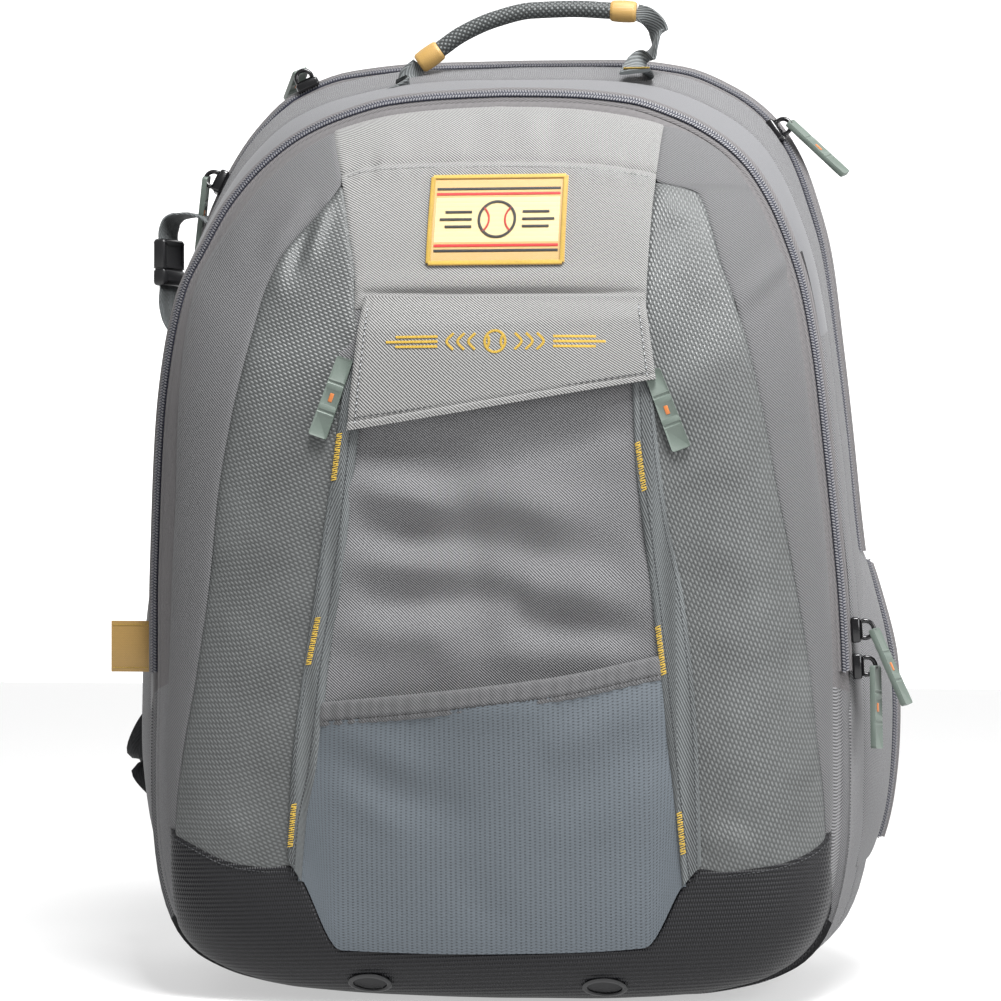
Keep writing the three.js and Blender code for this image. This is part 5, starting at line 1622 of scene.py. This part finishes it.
def side_label(bag, finish):
    """A folded satin tag sewn into the left flank, stitched along both edges"""
    low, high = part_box("side_tag")
    centre = np.array(((low + high) / 2 - SHIFT) / MM)
    size = np.array((high - low) / MM)
    tag = block(tuple(size), 0.35)
    tag.data.transform(Matrix.Translation(Vector(centre)))
    tag.data.transform(Matrix.Translation(SHIFT) @ Matrix.Scale(MM, 4))
    tag.name = "side_label"
    edit_all()
    bpy.ops.uv.cube_project(cube_size=1.0, scale_to_bounds=False)
    object_mode()
    smooth_by_angle(tag)
    dressed(tag, finish["satin"], "gold_satin", "side_tag")
    rows = []
    for level in (-1, 1):
        z = centre[2] + level * (size[2] / 2 - 2.2)
        line = np.array([(centre[0] - size[0] / 2 + 1, centre[1] - size[1] / 2, z),
                         (centre[0] + size[0] / 2, centre[1] - size[1] / 2, z)])
        rows.append((stitch_row(line, (0, -1, 0), 1.5, 1.3, 0.22), finish["gold"]))
    finished(parts_piece("label_stitches", rows), "gold_satin")


# ---- Patch, eyelets, stitches and bartacks

def front_row(bag, shares, lift, pitch=3.0, stitch=2.1, radius=0.3, slant=0.0):
    """Stitches along a line of shares on the front"""
    line = resampled(shares, 160)
    path = bag.share_points(line, lift)
    facing = bag.share_points(line, lift + 1) - path
    return stitch_row(path, facing, pitch, stitch, radius, 0.0, slant)


def front_cord(bag, shares, lift, width, height, steps=120, closed=False):
    """A flat cord along a line of shares on the front"""
    line = resampled(shares, steps)
    path = bag.share_points(line, lift)
    facing = bag.share_points(line, lift + 1) - path
    return tube_mesh(path, facing, rounded(width, height, 10, 3), closed)


PATCH_MIDDLE = (0.02, 0.84)
PATCH_SIZE = (68, 45)


def patch_line(bag, points):
    """Shares of the front from places on the patch, as parts of its half width and half height"""
    return [(PATCH_MIDDLE[0] + u * PATCH_SIZE[0] / 2 / bag.half,
             PATCH_MIDDLE[1] + v * PATCH_SIZE[1] / 2 / bag.top) for u, v in points]


def arc(x, y, rx, ry, start, end, count=16):
    """Points of an oval from one angle in degrees to another"""
    angles = np.radians(np.linspace(start, end, count))
    return [(x + rx * math.cos(a), y + ry * math.sin(a)) for a in angles]


def front_patch(bag, finish):
    """The satin patch: stitched border and stripes, a ball between bars on a cream field"""
    u, v = panel_grid(40, 30, 0.3)
    shares = np.array(patch_line(bag, np.stack([2 * u - 1, 2 * v - 1], -1).reshape(-1, 2))).reshape(30, 40, 2)
    points = bag.on_front(shares[..., 0] * bag.half, shares[..., 1] * bag.top, 0)
    base = bag.skin + 1.0
    piece = sheet_piece("patch_cloth", points, 1.2, outward=(0, -1, 0), lift=base)
    dressed(piece, finish["satin"], "gold_satin", "front_patch")
    parts = []

    def corded_line(places, up, width, height, steps, colour):
        parts.append((front_cord(bag, patch_line(bag, places), base + up, width, height, steps),
                      finish[colour]))

    def stitched_line(places, up, pitch, stitch, radius, degrees, colour):
        parts.append((front_row(bag, patch_line(bag, places), base + up, pitch, stitch, radius,
                                math.radians(degrees)), finish[colour]))

    border = [(-1, -1), (1, -1), (1, 1), (-1, 1), (-1, -1)]
    for edge in zip(border, border[1:]):
        corded_line(edge, 0.1, 2.6, 1.3, 60, "satin")
        stitched_line(edge, 0.75, 0.62, 2.5, 0.32, 88, "gold")
    for y, colour in ((.72, "ink"), (.6, "red"), (-.72, "ink"), (-.6, "red")):
        stitched_line([(-.93, y), (.93, y)], 0.12, 0.5, 1.7, 0.3, 85, colour)
    for y in np.linspace(-.46, .46, 9):
        corded_line([(-.93, y), (.93, y)], 0.02, 2.9, 0.35, 50, "cream")
    stitched_line(arc(0, 0, .27, .41, 0, 360, 40), 0.5, 0.45, 1.5, 0.3, 88, "ink")
    for x, start, end in ((-.37, -52, 52), (.37, 128, 232)):
        stitched_line(arc(x, 0, .25, .36, start, end), 0.5, 0.6, 1.3, 0.26, 60, "red")
    for sign in (-1, 1):
        for y, end in ((.17, .78), (0, .86), (-.17, .78)):
            stitched_line([(sign * .38, y), (sign * end, y)], 0.5, 0.45, 1.5, 0.3, 84, "ink")
    finished(parts_piece("patch_threads", parts), "gold_satin")


EYELET_PLACE = (0.328, 0.0275)
EYELET_STEPS = 48


def oval(bag, sign, wide, high):
    """Shares of the front round an eyelet, from half sizes in mm"""
    angles = np.linspace(0, 2 * math.pi, EYELET_STEPS, endpoint=False)
    return np.column_stack([sign * EYELET_PLACE[0] + wide / bag.half * np.cos(angles),
                            EYELET_PLACE[1] + high / bag.top * np.sin(angles)])


def eyelets(bag, finish):
    """Drain eyelets: a raised ring round a dark disc, painted shade in the hole"""
    for side, sign in SIDES:
        shares = oval(bag, sign, 10, 4.2)
        path = bag.share_points(shares, bag.skin + 1.2)
        facing = bag.share_points(shares, bag.skin + 2.2) - path
        ring = tube_mesh(path, facing, rounded(2.6, 1.5, 10, 2.5), closed=True)
        # The dark disc inside the ring is painted shade in the eyelet's hole
        hole = bag.share_points(oval(bag, sign, 8.6, 3.1), bag.skin + 0.75)
        centre = hole.mean(axis=0)
        disc = np.vstack([hole, hole + (0, 0.8, 0), centre[None], centre[None] + (0, 0.8, 0)])
        faces = []
        count = EYELET_STEPS
        for k in range(count):
            n = (k + 1) % count
            faces += [(k, n, 2 * count), (count + n, count + k, 2 * count + 1), (n, k, count + k, count + n)]
        cloth = (disc, faces, np.zeros((10 * count, 2)))
        piece = parts_piece(f"eyelet_{side}", [(ring, finish["black_plastic"]), (cloth, finish["lining"])])
        finished(piece, "black_plastic", f"drain_eyelet_{side}")


# Gold bartacks on the webbing strips: shares of the front at both ends
BARTACKS = [((-.402, .612), (-.419, .561)), ((-.462, .4165), (-.49, .365)), ((-.53, .218), (-.541, .171)),
            ((.424, .602), (.443, .55)), ((.48, .409), (.497, .357)), ((.539, .214), (.55, .169))]

# Lines of the flap's ornament, in mm from its middle: a ball, then arrows and bars on both sides
ORNAMENT_MIDDLE = (6, 332.5)
ORNAMENT_LINES = [arc(0, 0, 5.2, 5.2, 0, 360, 40), arc(-6.6, 0, 3.6, 4.4, -48, 48),
                  arc(6.6, 0, 3.6, 4.4, 132, 228)]
for way in (-1, 1):
    ORNAMENT_LINES += [[(way * x, 4), (way * (x + 3.4), 0), (way * x, -4)] for x in (10, 15.5, 21)]
    ORNAMENT_LINES += [[(way * 29, y), (way * (55 - abs(y) * 2), y)] for y in (2.4, 0, -2.4)]


def flap_ornament(bag, finish):
    """Satin-stitched ball, arrows and bars across the flap"""
    parts = []
    for line in ORNAMENT_LINES:
        line = resampled(line, 60)
        xs, zs = line[:, 0] + ORNAMENT_MIDDLE[0], line[:, 1] + ORNAMENT_MIDDLE[1]
        fold = folds(xs, zs, FLAP_FOLDS) * bag.wrinkle
        lift = flap_lift(bag, 0.5 + xs / 150, np.full(60, 0.5)) + fold
        path = bag.on_front(xs, zs, lift + 0.15)
        facing = bag.on_front(xs, zs, lift + 1.15) - path
        parts.append((stitch_row(path, facing, 0.42, 1.5, 0.26, 0.0, math.radians(80)), finish["gold"]))
    finished(parts_piece("flap_ornament", parts), "gold_satin")


def threads(bag, finish):
    """Gold bartacks and the seams' stitches"""
    over = bag.skin + 1.9
    gold = [(front_row(bag, [a, b], over, pitch, 3.1, 0.33, math.radians(turn)), finish["gold"])
            for a, b in BARTACKS for pitch, turn in ((1.15, 72), (3.4, 104))]
    finished(parts_piece("gold_bartacks", gold), "gold_satin")
    dark, grey, pale = [], [], []
    for side, sign in SIDES:
        inner, outer = by_height(STRIP_INNER, side), by_height(STRIP_OUTER, side)
        heights = np.linspace(0.14, 0.66, 40)
        line = [(sign * (inner(z) + 0.022), z) for z in heights]
        dark.append(front_row(bag, line, over - 0.1, 1.9, 1.3, 0.3))
        line = [(sign * (outer(z) - 0.012), z) for z in heights]
        dark.append(front_row(bag, line, over - 0.2, 2.2, 1.5, 0.22))
        top = [(sign * x, z - 0.008) for x, z in BOOT_TOP[side] if x > 0.6]
        dark.append(front_row(bag, top, bag.skin + 0.5, 2.3, 1.5, 0.26))
    band, seam = smooth_table(BAND_TOP), smooth_table(CROSS_SEAM)
    grey.append(front_row(bag, [(x, band(x) - 0.021) for x in np.linspace(-.43, .46, 30)],
                          bag.skin + 0.2, 2.6, 1.8, 0.2))
    grey.append(front_row(bag, [(x, seam(x) - 0.008) for x in np.linspace(-.42, .44, 30)],
                          bag.skin + 1.0, 2.8, 2, 0.25))
    lift = bag.skin * 2 + 4.9
    for place in (0.026, 0.974):
        line = flap_place(np.full(30, place), np.linspace(0.03, 0.9, 30))
        pale.append(front_row(bag, line, lift + 0.25, 3.2, 1.5, 0.3))
        dark.append(front_row(bag, line, lift + 0.1, 3.2, 3.1, 0.28))
    line = flap_place(np.linspace(0.03, 0.97, 40), np.full(40, 0.085))
    dark.append(front_row(bag, line, lift + 0.6, 3.0, 2, 0.24))
    rows = (("dark_stitch", dark), ("stitch", grey), ("pale", pale))
    parts = [(mesh, finish[name]) for name, meshes in rows for mesh in meshes]
    finished(parts_piece("seam_stitches", parts), "webbing")


# ---- Stage and camera

TURN = math.radians(7)
DISTANCE = 1600
TARGET = np.array([4, -80, 255.0])
FOCUS = 3137.25
FRAME_SIDE = 1001
SENSOR = 36


def area_light(name, place, target, size, power):
    """A soft square light that looks at a target"""
    data = bpy.data.lights.new(name, "AREA")
    data.shape = "SQUARE"
    data.size = size
    data.energy = power
    light = bpy.data.objects.new(name, data)
    light.location = place
    light.rotation_euler = (Vector(target) - Vector(place)).to_track_quat("-Z", "Y").to_euler()
    bpy.context.scene.collection.objects.link(light)


def stage_plane(name, place, turn, size, brightness, glow):
    """A plain pale sheet of the studio"""
    deselect()
    bpy.ops.mesh.primitive_plane_add(size=size, location=place, rotation=turn)
    plane = bpy.context.object
    plane.name = name
    material = bpy.data.materials.new(name)
    material.use_nodes = True
    shader = material.node_tree.nodes["Principled BSDF"]
    shader.inputs["Base Color"].default_value = (brightness, brightness, brightness, 1)
    shader.inputs["Roughness"].default_value = 0.9
    shader.inputs["Specular IOR Level"].default_value = 0.0
    shader.inputs["Emission Color"].default_value = (1, 1, 1, 1)
    shader.inputs["Emission Strength"].default_value = glow
    plane.data.materials.append(material)


def stage_and_camera():
    """Floor, backdrop, light and the photo's camera"""
    stage_plane("floor", (0, 0, 0), (0, 0, 0), 12, 0.45, 0.5)
    stage_plane("backdrop", (0, 2.6, 5.5), (math.radians(90), 0, 0), 12, 0.5, 1.0)
    world = bpy.data.worlds.new("Pale room")
    world.use_nodes = True
    world.node_tree.nodes["Background"].inputs[0].default_value = (1, 1, 1, 1)
    world.node_tree.nodes["Background"].inputs[1].default_value = 0.3
    bpy.context.scene.world = world
    aim = (0, 0, 0.3)
    area_light("key", (0.3, -0.7, 1.55), aim, 0.6, 46)
    area_light("right", (1.5, -1.0, 0.8), aim, 1.0, 24)
    data = bpy.data.cameras.new("photo")
    data.sensor_width = SENSOR
    data.lens = FOCUS * SENSOR / FRAME_SIDE
    data.clip_end = 50
    camera = bpy.data.objects.new("photo", data)
    forward = np.array([-math.sin(TURN), math.cos(TURN), 0])
    camera.location = Vector((TARGET - forward * DISTANCE) * MM) + SHIFT
    camera.rotation_euler = Vector(forward).to_track_quat("-Z", "Y").to_euler()
    bpy.context.scene.collection.objects.link(camera)
    bpy.context.scene.camera = camera
    bpy.context.scene.view_settings.view_transform = "Standard"


# ---- Operators, panel and registration

def built(*builders):
    """Runs builders on the bag's surfaces and finishes"""
    bag, finish = Bag(), finishes()
    for build in builders:
        build(bag, finish)
    return {"FINISHED"}


class BAG_OT_front(bpy.types.Operator):
    """Sewn panels of the front"""
    bl_idname = "bag.front"
    bl_label = "Front Panels"

    def execute(self, context):
        return built(front_cloth, side_panels, embossed_panels, yoke_panel, centre_panel, boot_panel)


class BAG_OT_body(bpy.types.Operator):
    """Band between the zips, rear cloth and base"""
    bl_idname = "bag.body"
    bl_label = "Body"

    def execute(self, context):
        return built(gusset_cloth, rear_cloth, base_cloth)


class BAG_OT_zips(bpy.types.Operator):
    """Front and main zips"""
    bl_idname = "bag.zips"
    bl_label = "Zips"

    def execute(self, context):
        return built(front_zip, main_zip)


class BAG_OT_front_trim(bpy.types.Operator):
    """Webbing strips, flap and stretch pocket"""
    bl_idname = "bag.front_trim"
    bl_label = "Front Trim"

    def execute(self, context):
        return built(strips, flap_cloth, pocket_cloth, pocket_band)


class BAG_OT_side_pockets(bpy.types.Operator):
    """Side pockets and their zips"""
    bl_idname = "bag.side_pockets"
    bl_label = "Side Pockets"

    def execute(self, context):
        return built(side_pockets)


class BAG_OT_hardware(bpy.types.Operator):
    """Zip sliders and pulls, sleeve buckle and its straps"""
    bl_idname = "bag.hardware"
    bl_label = "Hardware"

    def execute(self, context):
        return built(zip_hardware, pocket_pulls, retention, side_label)


class BAG_OT_carry(bpy.types.Operator):
    """Grab handle, back pad and shoulder straps"""
    bl_idname = "bag.carry"
    bl_label = "Carrying Parts"

    def execute(self, context):
        return built(handle, back_system)


class BAG_OT_ornament(bpy.types.Operator):
    """Patch, eyelets, bartacks and stitches"""
    bl_idname = "bag.ornament"
    bl_label = "Ornament"

    def execute(self, context):
        return built(front_patch, eyelets, flap_ornament, threads)


class BAG_OT_stage(bpy.types.Operator):
    """Pale floor, soft light and the photo's camera"""
    bl_idname = "bag.stage"
    bl_label = "Stage"

    def execute(self, context):
        stage_and_camera()
        return {"FINISHED"}


class BAG_PT_panel(bpy.types.Panel):
    """Sizes, colours and build steps of the backpack"""
    bl_idname = "BAG_PT_panel"
    bl_label = "Baseball Backpack"
    bl_space_type = "VIEW_3D"
    bl_region_type = "UI"
    bl_category = "Backpack"

    def draw(self, context):
        for settings in (context.scene.bag_sizes, context.scene.bag_colours):
            box = self.layout.box()
            for name in settings.__annotations__:
                box.prop(settings, name)
        for step in STEPS:
            self.layout.operator(step.bl_idname)


STEPS = (BAG_OT_front, BAG_OT_body, BAG_OT_zips, BAG_OT_front_trim, BAG_OT_side_pockets, BAG_OT_hardware,
         BAG_OT_carry, BAG_OT_ornament, BAG_OT_stage)
CLASSES = (BagSizes, BagColours, *STEPS, BAG_PT_panel)


def register():
    for cls in CLASSES:
        bpy.utils.register_class(cls)
    bpy.types.Scene.bag_sizes = PointerProperty(type=BagSizes)
    bpy.types.Scene.bag_colours = PointerProperty(type=BagColours)


def unregister():
    del bpy.types.Scene.bag_colours
    del bpy.types.Scene.bag_sizes
    for cls in reversed(CLASSES):
        bpy.utils.unregister_class(cls)


def main():
    register()
    for step in STEPS:
        group, action = step.bl_idname.split(".")
        getattr(getattr(bpy.ops, group), action)()


if __name__ == "__main__":
    main()
